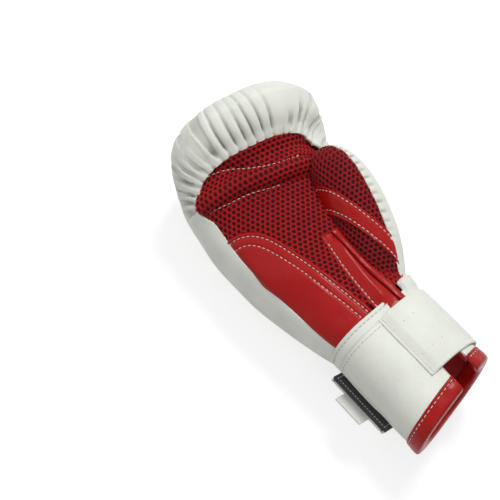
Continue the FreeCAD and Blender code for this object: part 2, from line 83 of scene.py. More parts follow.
# %% Driving sizes
CUFF_LENGTH, CUFF_WIDTH, CUFF_HEIGHT, CUFF_CORNER, CUFF_LIFT = 84.0, 78.0, 56.0, 27.0, 18.0
MOUTH_SLANT = 14.0
MITT_LENGTH, REST_SHARE, LEAN_ANGLE, LEAN_SHARE = 202.0, 0.46, 13.0, 0.45
SKIN, CUFF_PAD, LINING, CORNER_SHARE = 1.5, 6.0, 1.0, 0.85
CUFF_Z = CUFF_LIFT + CUFF_HEIGHT / 2
STRAP_START, STRAP_WIDTH, STRAP_SKIN, STRAP_SEAM_X = 27.0, 52.0, 2.2, -4.0
ARC_INNER, ARC_X, ARC_Z = 29.75, 10.75, 45.05
TIP_HINGE_X, TIP_LENGTH, TIP_ANGLE = -24.0, 28.0, 40.0
GRIP_BAR_SHARE, GRIP_BAR_CREST = 0.640, 82.0
MITT_OUTLINE = [
    (0.000, CUFF_WIDTH / 2, CUFF_WIDTH / 2, CUFF_LIFT, CUFF_LIFT + CUFF_HEIGHT),
    (0.100, 43.0, 42.0, 12.0, 73.5),
    (0.220, 49.0, 44.0, 4.0, 73.5),
    (0.350, 57.0, 45.0, -0.8, 73.0),
    (0.450, 62.0, 46.0, -1.6, 73.0),
    (0.540, 65.0, 47.0, -1.6, 73.5),
    (0.590, 66.0, 48.0, -1.6, 75.5),
    (GRIP_BAR_SHARE, 67.0, 50.0, -1.6, GRIP_BAR_CREST),
    (0.690, 67.5, 51.0, -1.6, 80.5),
    (0.730, 67.5, 53.0, -1.0, 87.0),
    (0.790, 66.0, 56.0, 0.5, 101.0),
    (0.850, 62.5, 56.0, 5.0, 107.0),
    (0.905, 56.0, 50.0, 13.0, 102.0),
    (0.950, 46.0, 42.0, 25.0, 91.0),
    (0.983, 31.0, 28.0, 40.0, 77.0),
    (1.000, 12.0, 10.0, 52.0, 66.0),
]
THUMB_SPINE = [
    ((18.0, 0.040, 48.0), 14.0, 18.0),
    ((25.0, 0.119, 50.0), 18.5, 21.5),
    ((32.0, 0.208, 53.0), 21.5, 24.0),
    ((37.0, 0.307, 57.0), 22.5, 25.0),
    ((39.5, 0.406, 62.0), 22.0, 24.5),
    ((40.0, 0.505, 67.0), 20.0, 22.5),
    ((38.5, 0.579, 71.5), 16.0, 18.0),
    ((37.5, 0.621, 74.0), 9.5, 10.5),
    ((37.2, 0.636, 75.0), 3.2, 3.6),
]
HAND_OUTLINE = [
    (0.000, 31.5, 31.5, CUFF_LIFT + 7.5, CUFF_LIFT + CUFF_HEIGHT - 7.5),
    (0.100, 35.5, 34.5, 27.0, 66.0),
    (0.250, 43.0, 36.5, 30.0, 65.5),
    (0.400, 47.5, 37.0, 32.0, 65.0),
    (0.560, 49.5, 37.5, 34.0, 65.0),
    (0.670, 49.5, 39.5, 36.0, 66.0),
    (0.710, 49.0, 40.0, 37.5, 75.0),
    (0.745, 47.0, 40.0, 40.5, 87.0),
    (0.780, 43.0, 36.0, 46.0, 90.0),
    (0.820, 34.0, 28.0, 55.0, 85.0),
    (0.840, 16.0, 13.0, 64.0, 77.0),
]
NET_SHARES = [-0.03, -0.015] + [0.035 * i for i in range(25)]
NET_SHARES += [0.86, 0.89, 0.92, 0.945, 0.967, 0.983, 0.994, 1.0]

# %% [markdown]
# ## Smooth curves and the lean of the fist
#
# A row of sizes becomes a smooth curve with a monotone cubic, which passes through every size and never
# swings past one. Folds, stitch rows and swells are sums of three small functions: ease, dent and waves.
# The fist leans 13 degrees towards the thumb, so every point is worked out on a straight glove first and
# then carried along the lean.


# %% Curves
def monotone(xs, ys):
    """A smooth curve through the points that never overshoots them. It takes and gives arrays."""
    xs, ys = np.array(xs, float), np.array(ys, float)
    steps = np.diff(xs)
    slopes = np.diff(ys) / steps
    tangents = np.concatenate([slopes[:1], np.zeros(len(slopes) - 1), slopes[-1:]])
    for i in range(1, len(slopes)):
        before, after = slopes[i - 1], slopes[i]
        if before * after > 0:
            w1, w2 = 2 * steps[i] + steps[i - 1], steps[i] + 2 * steps[i - 1]
            tangents[i] = (w1 + w2) / (w1 / before + w2 / after)

    def value(x):
        i = np.clip(np.searchsorted(xs, x, side="left") - 1, 0, len(steps) - 1)
        t = (x - xs[i]) / steps[i]
        rise = (1 + 2 * t) * (1 - t) ** 2 * ys[i] + t * t * (3 - 2 * t) * ys[i + 1]
        return rise + steps[i] * (t * (1 - t) ** 2 * tangents[i] + t * t * (t - 1) * tangents[i + 1])

    return value


def walked(points):
    """How far along a line each of its points is."""
    return np.concatenate([[0], np.cumsum(np.linalg.norm(np.diff(points, axis=0), axis=1))])


def unit(v):
    """Vectors made one long."""
    return v / np.maximum(np.linalg.norm(v, axis=-1, keepdims=True), 1e-12)


def ease(low, high, value):
    """From 0 to 1 as the value goes from low to high."""
    x = np.clip((value - low) / (high - low), 0, 1)
    return x * x * (3 - 2 * x)


def dent(distance, width):
    """1 on a line and falling smoothly to 0 beside it, over about the width."""
    return np.exp(-((distance / width) ** 2))


def waves(p, size, seed):
    """Slow random swells, about 1 high, with the given length in millimetres."""
    table = np.random.default_rng(seed)
    total = 0
    for _ in range(5):
        way = unit(table.normal(size=3)) * 2 * math.pi / (size * table.uniform(0.7, 1.4))
        total = total + np.sin(p @ way + table.uniform(0, 6.3))
    return total / 2.2


def lean(y):
    """How far the glove has turned towards the thumb at y, in radians."""
    return -math.radians(LEAN_ANGLE) * ease(CUFF_LENGTH, CUFF_LENGTH + LEAN_SHARE * MITT_LENGTH, y)


lean_y = np.linspace(CUFF_LENGTH, CUFF_LENGTH + 1.2 * MITT_LENGTH, 400)
lean_step = lean_y[1] - lean_y[0]
lean_at = lean(lean_y[:-1] + lean_step / 2)
lean_x_at = np.concatenate([[0], np.cumsum(-np.sin(lean_at) * lean_step)])
lean_y_at = np.concatenate([[0], np.cumsum(np.cos(lean_at) * lean_step)]) + CUFF_LENGTH


def bent(points):
    """Points of the straight glove, in millimetres, carried to their place on the leaning one."""
    p = np.asarray(points, float)
    turn = lean(p[..., 1])
    middle_x = np.interp(p[..., 1], lean_y, lean_x_at)
    middle_y = np.where(p[..., 1] < CUFF_LENGTH, p[..., 1], np.interp(p[..., 1], lean_y, lean_y_at))
    return np.stack([middle_x + p[..., 0] * np.cos(turn), middle_y + p[..., 0] * np.sin(turn), p[..., 2]], -1)


REST_POINT = bent([0, CUFF_LENGTH + REST_SHARE * MITT_LENGTH, 0])


def placed(points):
    """Millimetres on the drawing to metres in the frame, whose origin is the middle of the resting patch."""
    return (np.asarray(points, float) - REST_POINT) * MM


print("the fist's own line leans", LEAN_ANGLE, "degrees; origin at", REST_POINT.round(2))

# %% [markdown]
# ## A surface that can be asked for any point
#
# Leather and mesh need far more points than the sections above, and stitches need to know where the
# leather is. A bicubic spline through the sections gives both: for any row `s` and any place `t` round
# the section it returns the point. The spline is solved once for its control points.


# %% Splines
def spline_weights(x):
    """The four weights of a uniform cubic B-spline, and the first control point they belong to."""
    i = np.floor(x).astype(int)
    t = x - i
    middle = [(3 * t**3 - 6 * t**2 + 4) / 6, (-3 * t**3 + 3 * t**2 + 3 * t + 1) / 6]
    return i - 1, [(1 - t) ** 3 / 6, *middle, t**3 / 6]


class Skin:
    """A smooth closed surface through sections. s counts rows from 0, t goes once round from 0 to 1."""

    def __init__(self, net):
        self.rows, self.count = net.shape[:2]
        around = np.eye(self.count) * 4 / 6
        along = np.eye(self.rows + 2) * 4 / 6
        for j in range(self.count):
            around[j, j - 1] += 1 / 6
            around[j, (j + 1) % self.count] += 1 / 6
        for i in range(1, self.rows + 1):
            along[i, i - 1] = along[i, i + 1] = 1 / 6
        along[0, :3] = along[-1, -3:] = [1, -2, 1]
        padded = np.concatenate([np.zeros_like(net[:1]), net, np.zeros_like(net[:1])])
        poles = np.linalg.solve(along, padded.reshape(self.rows + 2, -1)).reshape(padded.shape)
        self.poles = np.linalg.solve(around, poles.transpose(1, 0, 2).reshape(self.count, -1))
        self.poles = self.poles.reshape(self.count, self.rows + 2, 3).transpose(1, 0, 2)

    def at(self, s, t):
        """Points of the straight glove, in millimetres, for arrays s and t of one shape."""
        s = np.clip(np.asarray(s, float), 0, self.rows - 1 - 1e-9)
        i0, ws = spline_weights(s)
        j0, wt = spline_weights(np.asarray(t, float) * self.count)
        total = 0
        for a in range(4):
            for b in range(4):
                pole = self.poles[i0 + a + 1, (j0 + b) % self.count]
                total = total + pole * (ws[a] * wt[b])[..., None]
        return total

    def normals(self, s, t):
        """Outward normals, from the two ways in which the surface runs."""
        s = np.clip(s, 0.02, self.rows - 1.02)
        along = self.at(s + 0.02, t) - self.at(s - 0.02, t)
        around = self.at(s, t + 0.0005) - self.at(s, t - 0.0005)
        return unit(np.cross(along, around))


def rounded_section(left, right, low, high, corner_x, corner_z, steps=10):
    """(x, z) points of a rounded rectangle, evenly spaced in each quarter, from the thumb over the palm."""
    xc, zc, a, b = (left + right) / 2, (low + high) / 2, (right - left) / 2, (high - low) / 2
    rx, rz = min(corner_x, a), min(corner_z, b)
    turns = np.linspace(0, math.pi / 2, 60)
    x = np.concatenate([[a], a - rx + rx * np.cos(turns), [0]])
    z = np.concatenate([[0], b - rz + rz * np.sin(turns), [b]])
    far = np.concatenate([[0], np.cumsum(np.hypot(np.diff(x), np.diff(z)) + 1e-9)])
    stops = far[-1] * np.arange(steps) / steps
    qx, qz = np.interp(stops, far, x), np.interp(stops, far, z)
    loop_x = np.concatenate([qx, -np.append(qx[1:], 0)[::-1]])
    loop_z = np.concatenate([qz, np.append(qz[1:], b)[::-1]])
    loop_x, loop_z = np.concatenate([loop_x, -loop_x]), np.concatenate([loop_z, -loop_z])
    return np.stack([xc + loop_x, zc + loop_z], -1)


def outline_skin(outline, corner_start):
    """The smooth surface of a padded body from its outline rows."""
    table = np.array(outline)
    tracks = [monotone(table[:, 0], table[:, k]) for k in range(1, 5)]
    net = []
    for share in NET_SHARES:
        share = share * table[-1, 0]
        little, thumb, low, high = (float(track(max(share, 0.0))) for track in tracks)
        opened = min(max(share, 0.0) / 0.15, 1.0)
        sizes = ((little + thumb) / 2, (high - low) / 2)
        corners = [corner_start + opened * (CORNER_SHARE * size - corner_start) for size in sizes]
        xz = rounded_section(-little, thumb, low, high, *corners)
        y = np.full(len(xz), CUFF_LENGTH + share * MITT_LENGTH)
        net.append(np.stack([xz[:, 0], y, xz[:, 1]], -1))
    return Skin(np.array(net))


mitt_skin = outline_skin(MITT_OUTLINE, CUFF_CORNER)
print("mitt surface from", mitt_skin.rows, "sections of", mitt_skin.count, "points")

# %% [markdown]
# ## Nodes and studio
#
# Shaders and Geometry Nodes are trees of nodes, so one function adds any node with its values and links.
# A camera is a position and a direction, so it can be written as the point it looks at, the angle round
# the glove, the height in degrees and the distance. The floor is white without more light on the leather:
# a little of its own light is added, for the camera and for reflections only. The glove's shadow stays.


# %% Node helpers
def node(tree, kind, inputs=None, **values):
    """Add a node. An input takes a socket or a value. In a name among the values, _ stands for a space."""
    made = tree.nodes.new(kind)
    for key, value in values.items():
        label = key.replace("_", " ")
        if label in made.inputs:
            made.inputs[label].default_value = value
        else:
            setattr(made, key, value)
    for label, value in (inputs or {}).items():
        if isinstance(value, bpy.types.NodeSocket):
            tree.links.new(value, made.inputs[label])
        else:
            made.inputs[label].default_value = value
    return made


def maths(tree, operation, one, other):
    """An operation on two numbers, each of them a socket or a value."""
    return node(tree, "ShaderNodeMath", {0: one, 1: other}, operation=operation).outputs[0]


def new_material(name, colour, roughness, **sockets):
    """A Principled material with these constant values, and the tree and shader for its pattern."""
    material = bpy.data.materials.new(name)
    material.use_nodes = True
    shader = material.node_tree.nodes["Principled BSDF"]
    shader.inputs["Base Color"].default_value = (*colour, 1)
    shader.inputs["Roughness"].default_value = roughness
    for socket, value in sockets.items():
        shader.inputs[socket.replace("_", " ")].default_value = value
    return material, material.node_tree, shader


def seen_directly(tree):
    """A number that is 1 for the camera, for mirror reflections and through glass, and 0 for other light."""
    path = node(tree, "ShaderNodeLightPath").outputs
    either = maths(tree, "MAXIMUM", path["Is Camera Ray"], path["Is Glossy Ray"])
    return maths(tree, "MAXIMUM", either, path["Is Transmission Ray"])


# %% Camera, lights and floor
AZIMUTH, ELEVATION, DISTANCE = -42, 66, 0.700
TARGET = np.array([-0.006, -0.038, 0.050])
SENSOR, LENS, SHIFT_X, SHIFT_Y = 36.0, 71.064, -0.156, 0.034
LAMP_DISTANCE, FLOOR_REACH = 1.4, 12.0
SKY_LIGHT, SKY_SEEN, FLOOR_GREY, FLOOR_GLOW = 0.36, 1.0, 0.50, 0.66
LAMPS = (
    # name, azimuth, elevation, size in metres, watts
    ("key_light", 108, 58, 0.5, 12.5),
    ("side_light", -150, 40, 1.2, 2.6),
    ("front_light", -30, 42, 1.2, 3.4),
)


def aim(thing, azimuth, elevation, distance):
    """Stand a camera or a lamp at two angles in degrees and a distance from the target, looking at it."""
    azimuth, elevation = math.radians(azimuth), math.radians(elevation)
    back = np.array([math.sin(azimuth), -math.cos(azimuth), 0]) * math.cos(elevation)
    back[2] = math.sin(elevation)
    right = np.array([math.cos(azimuth), math.sin(azimuth), 0])
    turn = np.eye(4)
    turn[:3, :3] = np.stack([right, np.cross(back, right), back], 1)
    turn[:3, 3] = TARGET + back * distance
    bpy.context.scene.collection.objects.link(thing)
    thing.matrix_world = Matrix(turn)


camera_data = bpy.data.cameras.new("camera")
camera_data.sensor_width, camera_data.lens, camera_data.clip_start = SENSOR, LENS, 0.01
camera_data.shift_x, camera_data.shift_y = SHIFT_X, SHIFT_Y
camera = bpy.data.objects.new("camera", camera_data)
aim(camera, AZIMUTH, ELEVATION, DISTANCE)
bpy.context.scene.camera = camera
for name, azimuth, elevation, size, energy in LAMPS:
    lamp_data = bpy.data.lights.new(name, "AREA")
    lamp_data.shape, lamp_data.size, lamp_data.energy = "DISK", size, energy
    aim(bpy.data.objects.new(name, lamp_data), azimuth, elevation, LAMP_DISTANCE)

world = bpy.data.worlds.new("studio")
world.use_nodes = True
sky = world.node_tree.nodes["Background"]
levels = {"Value": seen_directly(world.node_tree), "To Min": SKY_LIGHT, "To Max": SKY_SEEN}
strength = node(world.node_tree, "ShaderNodeMapRange", levels)
world.node_tree.links.new(strength.outputs[0], sky.inputs["Strength"])
sky.inputs["Color"].default_value = (1, 1, 1, 1)
bpy.context.scene.world = world
bpy.context.scene.view_settings.view_transform = "Standard"

white = {"Specular_IOR_Level": 0.0, "Emission_Color": (1, 1, 1, 1)}
floor_material, floor_tree, floor_shader = new_material("white_floor", (FLOOR_GREY,) * 3, 0.9, **white)
glow = maths(floor_tree, "MULTIPLY", seen_directly(floor_tree), FLOOR_GLOW)
floor_tree.links.new(glow, floor_shader.inputs["Emission Strength"])
floor_mesh = bpy.data.meshes.new("floor")
corners = [(FLOOR_REACH * x, FLOOR_REACH * y, cad_low[2]) for x, y in ((-1, -1), (1, -1), (1, 1), (-1, 1))]
floor_mesh.from_pydata(corners, [], [(0, 1, 2, 3)])
floor_mesh.materials.append(floor_material)
floor = bpy.data.objects.new("floor", floor_mesh)
bpy.context.scene.collection.objects.link(floor)
floor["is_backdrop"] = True
print("camera at", [round(v, 3) for v in camera.location], "floor at z", round(cad_low[2], 4))

# %% [markdown]
# ## Finishes
#
# Each finish is a Principled shader with a pattern over it: grain for leather, ribs and holes with painted
# shade for spacer mesh, threads for nylon and webbing. The patterns read Object coordinates, which are metres
# here, so a scale of 1000 is one cell to the millimetre. A number that is the same everywhere stays on the
# shader's own socket.

# %% Pattern helpers
def pattern(tree, kind, **values):
    """A texture node on Object coordinates. Scale is cells to the metre."""
    place = node(tree, "ShaderNodeTexCoord").outputs["Object"]
    return node(tree, kind, {"Vector": place}, **values).outputs


def ramp(tree, value, low, high, to_low, to_high):
    """A value carried from one range to another, smoothly."""
    ends = {"Value": value, "From Min": low, "From Max": high, "To Min": to_low, "To Max": to_high}
    return node(tree, "ShaderNodeMapRange", ends, interpolation_type="SMOOTHSTEP").outputs[0]


def tint(tree, factor, one, other):
    """Between two colours, by a factor. Each may be a colour or a socket."""
    one, other = ((*colour, 1) if isinstance(colour, tuple) else colour for colour in (one, other))
    return node(tree, "ShaderNodeMix", {0: factor, 6: one, 7: other}, data_type="RGBA").outputs[2]


def bump(tree, shader, height, depth, strength=1.0, under=None):
    """Raise the surface by a height from 0 to 1 times a depth in metres, over an earlier bump if any."""
    inputs = {"Height": height} if under is None else {"Height": height, "Normal": under}
    normal = node(tree, "ShaderNodeBump", inputs, Strength=strength, Distance=depth).outputs["Normal"]
    tree.links.new(normal, shader.inputs["Normal"])
    return normal


def vertex_value(tree, name):
    """A number stored on the mesh's points."""
    return node(tree, "ShaderNodeAttribute", attribute_name=name).outputs["Fac"]


# %% [markdown]
# ## Leather
#
# The glove's leather is split hide with a pressed grain: flat pebbles about a millimetre across with fine
# lines between them. Voronoi's distance to the edge gives the pebbles. The white hide is dull, and the red
# hide is sealed, so it has a coat. In creases, along stitch rows and on turned-in hems the colour is painted
# darker, as painted shade.

# %% Leathers
def leather(name, colour, shade, roughness, grain, depth, **sockets):
    """Pressed hide: pebbled grain, slow changes of colour and gloss, and painted shade in its creases."""
    material, tree, shader = new_material(name, colour, roughness, **sockets)
    clouds = pattern(tree, "ShaderNodeTexNoise", Scale=38.0, Detail=3.0)
    mottled = tint(tree, ramp(tree, clouds["Fac"], 0.3, 0.7, 0.0, 0.10), colour, shade)
    # Painted shade: a value on the points, high in creases, stitch rows and hems, darkens the colour towards
    # the shade colour.
    creased = tint(tree, ramp(tree, vertex_value(tree, "crease"), 0.0, 1.0, 0.0, 1.0), mottled, shade)
    tree.links.new(creased, shader.inputs["Base Color"])
    gloss = ramp(tree, clouds["Fac"], 0.3, 0.7, roughness - 0.05, roughness + 0.07)
    tree.links.new(gloss, shader.inputs["Roughness"])
    wrinkles = pattern(tree, "ShaderNodeTexNoise", Scale=210.0, Detail=4.0, Roughness=0.6)
    soft = bump(tree, shader, wrinkles["Fac"], depth * 2.2, 0.45)
    pebbles = pattern(tree, "ShaderNodeTexVoronoi", Scale=grain, feature="DISTANCE_TO_EDGE")
    bump(tree, shader, ramp(tree, pebbles["Distance"], 0.0, 0.22, 0.0, 1.0), depth, 0.55, soft)
    return material


# The second colour of each hide is the darker tone of its random mottle, and also the painted shade in its
# creases.
WHITE, WHITE_SHADE = (0.78, 0.80, 0.725), (0.34, 0.34, 0.29)
RED, RED_SHADE = (0.37, 0.005, 0.004), (0.23, 0.002, 0.003)
white_leather = leather("white_leather", WHITE, WHITE_SHADE, 0.50, 900.0, 0.00016, Specular_IOR_Level=0.3)
red_sockets = {"Specular_IOR_Level": 0.10, "Coat_Weight": 0.15, "Coat_Roughness": 0.16}
red_leather = leather("red_leather", RED, RED_SHADE, 0.32, 820.0, 0.00014, **red_sockets)

# %% [markdown]
# ## Cloths
#
# Spacer mesh is two knitted faces with a pile between them. Its ribs are bright and its holes are painted
# dark, as painted shade that grows with depth, and the mesh itself carries that depth as a number called
# pile, 1 on a rib and 0 at the bottom of a hole. The other cloths are woven: two waves at right angles are
# the warp and the weft.


# %% Cloths
def spacer_mesh(name, rib, hole):
    """Knitted ribs with holes painted dark as painted shade, and a fine knit over the ribs."""
    sheen = {"Specular_IOR_Level": 0.15, "Sheen_Weight": 0.06, "Sheen_Roughness": 0.4}
    material, tree, shader = new_material(name, rib, 0.62, **sheen)
    clouds = pattern(tree, "ShaderNodeTexNoise", Scale=70.0, Detail=2.0)
    deep = tuple(0.72 * c for c in rib)
    mottled = tint(tree, ramp(tree, clouds["Fac"], 0.35, 0.65, 0.0, 0.5), rib, deep)
    # Painted shade: deeper in a hole, the colour goes towards the dark hole colour.
    depth = ramp(tree, vertex_value(tree, "pile"), 0.10, 0.75, 1.0, 0.0)
    tree.links.new(tint(tree, depth, mottled, hole), shader.inputs["Base Color"])
    knit = pattern(tree, "ShaderNodeTexVoronoi", Scale=2100.0)
    bump(tree, shader, knit["Distance"], 0.00018, 0.6)
    return material


def woven(name, colour, shade, roughness, threads, depth, **sockets):
    """Plain weave: two bands of waves, one for each set of threads."""
    material, tree, shader = new_material(name, colour, roughness, **sockets)
    warp, weft = (
        pattern(tree, "ShaderNodeTexWave", Scale=threads, bands_direction=way, Distortion=0.6)["Fac"]
        for way in ("X", "Y")
    )
    clouds = pattern(tree, "ShaderNodeTexNoise", Scale=60.0, Detail=2.0)
    worn = tint(tree, ramp(tree, clouds["Fac"], 0.35, 0.7, 0.0, 0.6), colour, shade)
    tree.links.new(worn, shader.inputs["Base Color"])
    bump(tree, shader, maths(tree, "MAXIMUM", warp, weft), depth, 0.6)
    return material


def fuzzy(name, colour, shade, tufts):
    """Hook tape: a close field of stiff hooks, dull and nearly black."""
    material, tree, shader = new_material(name, colour, 0.75, Sheen_Weight=0.3, Sheen_Roughness=0.5)
    hooks = pattern(tree, "ShaderNodeTexVoronoi", Scale=tufts)
    mottled = tint(tree, ramp(tree, hooks["Distance"], 0.1, 0.6, 0.0, 1.0), shade, colour)
    tree.links.new(mottled, shader.inputs["Base Color"])
    bump(tree, shader, hooks["Distance"], 0.0006, 0.9)
    return material


red_mesh = spacer_mesh("red_mesh", (0.34, 0.005, 0.008), (0.030, 0.001, 0.002))
# Painted shade: the thumb's mesh and the mesh at its root are darker copies of the palm's, for the shade on
# the thumb's inner side and in the recess at its root.
shaded_thumb_cloth = spacer_mesh("thumb_red_mesh_painted_shade", (0.26, 0.004, 0.007), (0.022, 0.001, 0.002))
root_shaded_cloth = spacer_mesh("root_red_mesh_painted_shade", (0.22, 0.003, 0.006), (0.018, 0.001, 0.002))
red_lining = woven("red_lining", (0.42, 0.012, 0.018), (0.27, 0.006, 0.010), 0.55, 700.0, 0.00010)
black_tape = fuzzy("black_tape", (0.012, 0.012, 0.013), (0.045, 0.045, 0.048), 1300.0)
white_webbing = woven("white_webbing", (0.80, 0.80, 0.77), (0.66, 0.66, 0.63), 0.6, 420.0, 0.00018)
label_cloth = woven("label_cloth", (0.82, 0.82, 0.80), (0.72, 0.72, 0.70), 0.38, 900.0, 0.00005)
thread = woven("white_thread", (0.84, 0.82, 0.76), (0.70, 0.66, 0.58), 0.55, 1500.0, 0.00008)
print("finishes:", [material.name for material in (white_leather, red_leather, red_mesh, red_lining)])

# %% [markdown]
# ## From a chart to a piece
#
# A panel of leather starts as a flat chart: a grid of places on the spline surface, with faces between
# them. It is cut along its seams while it is still a chart, where a seam is the line on which a number
# changes sign, so its edge comes out clean. Then each place is lifted to its point on the glove, raised
# or sunk along the normal, and given a hem that turns in.


# %% Charts
def grid_chart(rows, columns):
    """Places at every pair of values, and the four-sided faces between them."""
    first, second = np.meshgrid(rows, columns, indexing="ij")
    places = np.stack([first.ravel(), second.ravel()], -1)
    corner = np.arange(len(rows) * len(columns)).reshape(len(rows), len(columns))
    faces = np.stack([corner[:-1, :-1], corner[:-1, 1:], corner[1:, 1:], corner[1:, :-1]], -1).reshape(-1, 4)
    return places, [tuple(face) for face in faces.tolist()]


def cut(places, faces, field):
    """Keep the part of a chart where the field is positive, with new places where it crosses nought."""
    places, faces = tidy(places, faces)
    value = field(places)
    keep = value > 0
    kept, fresh, known = [], [], {}
    for face in faces:
        if all(keep[i] for i in face):
            kept.append(face)
            continue
        outline = []
        for i, j in zip(face, face[1:] + face[:1]):
            if keep[i]:
                outline.append(i)
            if keep[i] != keep[j]:
                key = (min(i, j), max(i, j))
                if key not in known:
                    a, b = value[key[0]], value[key[1]]
                    known[key] = len(places) + len(fresh)
                    fresh.append(places[key[0]] + (places[key[1]] - places[key[0]]) * (a / (a - b)))
                outline.append(known[key])
        if len(outline) > 2:
            kept.append(tuple(outline))
    if fresh:
        places = np.concatenate([places, np.array(fresh)])
    return tidy(places, kept)


def tidy(places, faces):
    """Drop the places that no face uses."""
    used = np.unique(np.concatenate([np.array(face) for face in faces]) if faces else np.array([], int))
    number = np.full(len(places), -1)
    number[used] = np.arange(len(used))
    return places[used], [tuple(number[list(face)].tolist()) for face in faces]


def hem(points, normals, faces, depth):
    """Turn the free edge of a panel inwards by a depth, so that the panel looks as thick as it is."""
    once = {}
    for face in faces:
        for i, j in zip(face, face[1:] + face[:1]):
            key = (min(i, j), max(i, j))
            once[key] = None if key in once else (i, j)
    edges = [edge for edge in once.values() if edge]
    rim = sorted({i for edge in edges for i in edge})
    number = {i: len(points) + k for k, i in enumerate(rim)}
    turned = points[rim] - normals[rim] * depth
    faces = faces + [(j, i, number[i], number[j]) for i, j in edges]
    return np.concatenate([points, turned]), faces, rim


def stood(name, mesh, body="mitt"):
    """A mesh stood in the scene as a smooth piece and the body it rides on."""
    mesh.polygons.foreach_set("use_smooth", [True] * len(mesh.polygons))
    piece = bpy.data.objects.new(name, mesh)
    bpy.context.scene.collection.objects.link(piece)
    if body:
        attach(piece, body)
    print(name, len(mesh.polygons), "faces")
    return piece


def new_piece(name, points, faces, material, slot=None, body="mitt", **values):
    """A piece from points in metres. values are numbers to store on its points, by name.

    The slot is not used.
    """
    mesh = bpy.data.meshes.new(name)
    mesh.from_pydata(np.asarray(points).tolist(), [], faces)
    for key, numbers in values.items():
        stored = mesh.attributes.new(key, "FLOAT", "POINT")
        stored.data.foreach_set("value", np.asarray(numbers, np.float32))
    mesh.materials.append(material)
    return stood(name, mesh, body)


def reshape(piece, change):
    """Work on a piece's mesh as a bmesh."""
    shell = bmesh.new()
    shell.from_mesh(piece.data)
    change(shell)
    shell.to_mesh(piece.data)
    shell.free()


def weld(piece):
    """Join points that lie in one place, such as the two edges of a closed tube."""
    reshape(piece, lambda shell: bmesh.ops.remove_doubles(shell, verts=shell.verts, dist=1e-6))


# %% Places on the mitt
fine_s = np.linspace(0, mitt_skin.rows - 1, 1200)
fine_share = (mitt_skin.at(fine_s, fine_s * 0)[:, 1] - CUFF_LENGTH) / MITT_LENGTH


def s_of(share):
    """The row of the mitt's surface at a share of its length."""
    return np.interp(share, fine_share, fine_s)


def share_of(points):
    """How far along the mitt points of the straight glove are, from 0 to 1."""
    return (points[..., 1] - CUFF_LENGTH) / MITT_LENGTH


last_row = mitt_skin.at(np.full(40, mitt_skin.rows - 1.0), np.arange(40) / 40)
front_middle = last_row.mean(0) + [0, 0.6, 0]


def mitt_points(places):
    """Straight points, in millimetres, and their normals. Rows past the last draw in to its middle."""
    s, t = places[:, 0], places[:, 1]
    past = np.clip(s - (mitt_skin.rows - 1), 0, 1)[:, None]
    s = np.minimum(s, mitt_skin.rows - 1)
    p = mitt_skin.at(s, t)
    p = p + (front_middle - p) * past
    return p, unit(mitt_skin.normals(s, t) * (1 - past) + past * [0, 1, 0])


walk_s = np.linspace(0, mitt_skin.rows - 1, 600)
walk_lines = [mitt_skin.at(walk_s, np.full_like(walk_s, t)) for t in (0.0, 0.25, 0.5, 0.75)]
walk_steps = np.max([np.linalg.norm(np.diff(line, axis=0), axis=1) for line in walk_lines], axis=0)
walk_length = np.concatenate([[0], np.cumsum(walk_steps)])


def rows_between(share_low, share_high, step):
    """Rows of the mitt's surface about one step apart, in millimetres."""
    low, high = np.interp([s_of(share_low), s_of(share_high)], walk_s, walk_length)
    stops = np.linspace(low, high, int((high - low) / step) + 2)
    return np.interp(stops, walk_length, walk_s)


# %% Pieces from charts
def cut_chart(chart, fields, points_of):
    """A chart cut by fields of its points."""
    places, faces = chart
    for field in fields:
        places, faces = cut(places, faces, lambda q: field(points_of(q)[0]))
    return places, faces


def leather_piece(
    name,
    chart,
    fields,
    relief,
    material,
    points_of=mitt_points,
    carry=bent,
    hem_depth=1.4,
    rim_crease=0.6,
    closed=False,
    inwards=False,
):
    """Leather: a chart cut by its fields, lifted by its relief, hemmed and carried to its place.

    The sides of a closed chart are welded. A lining looks inwards and has no hem.
    """
    places, faces = cut_chart(chart, fields, points_of)
    p, normals = points_of(places)
    height, crease = relief(p, places)
    p = p + normals * height[:, None]
    if inwards:
        faces = [face[::-1] for face in faces]
    else:
        p, faces, rim = hem(p, normals, faces, hem_depth)
        # Painted shade: the turned-in hem gets a fixed amount of darkening.
        crease = np.concatenate([crease, np.full(len(rim), rim_crease)])
    p[:, 2] = np.maximum(p[:, 2], 0.0)
    piece = new_piece(name, placed(carry(p)), faces, material, crease=crease)
    if closed:
        weld(piece)
    return piece


# %% [markdown]
# ## Seams of the mitt
#
# Each seam is written as a field: a number for every point of the straight glove, in millimetres, that is
# positive on one side of the seam and negative on the other. The size of the number is the distance from
# the seam, so stitches, hems and gathers can use the same field.

# %% Fields
PALM_SEAM = [(-0.198, 60.0), (0.40, 60.0), (0.52, 61.0), (0.66, 64.5), (0.712, 72.0)]
PALM_SEAM += [(0.735, 84.0), (0.77, 140.0)]
HEEL_EDGE = [(-75, 0.488), (-62, 0.500), (-53, 0.503), (-45, 0.497), (-35, 0.474), (-25, 0.420), (-15, 0.322)]
HEEL_EDGE += [(-8, 0.215), (-3.5, 0.115), (-1.5, 0.030), (0.0, -0.080)]
SLIT_APEX_Y = CUFF_LENGTH + 0.322 * MITT_LENGTH
SLIT_APEX_X, SLIT_MOUTH_X, SLIT_APEX_WIDTH, SLIT_MOUTH_WIDTH = 13.0, 14.0, 2.0, 20.0
PLACKET_WIDTH, PLACKET_GAP, SLIT_BINDING_WIDTH, BAND_WIDTH = 8.0, 1.6, 4.0, 12.0
PLACKET_STITCH, SEAM_SHARE = 1.9, 0.769
seam_height = monotone(*zip(*PALM_SEAM))


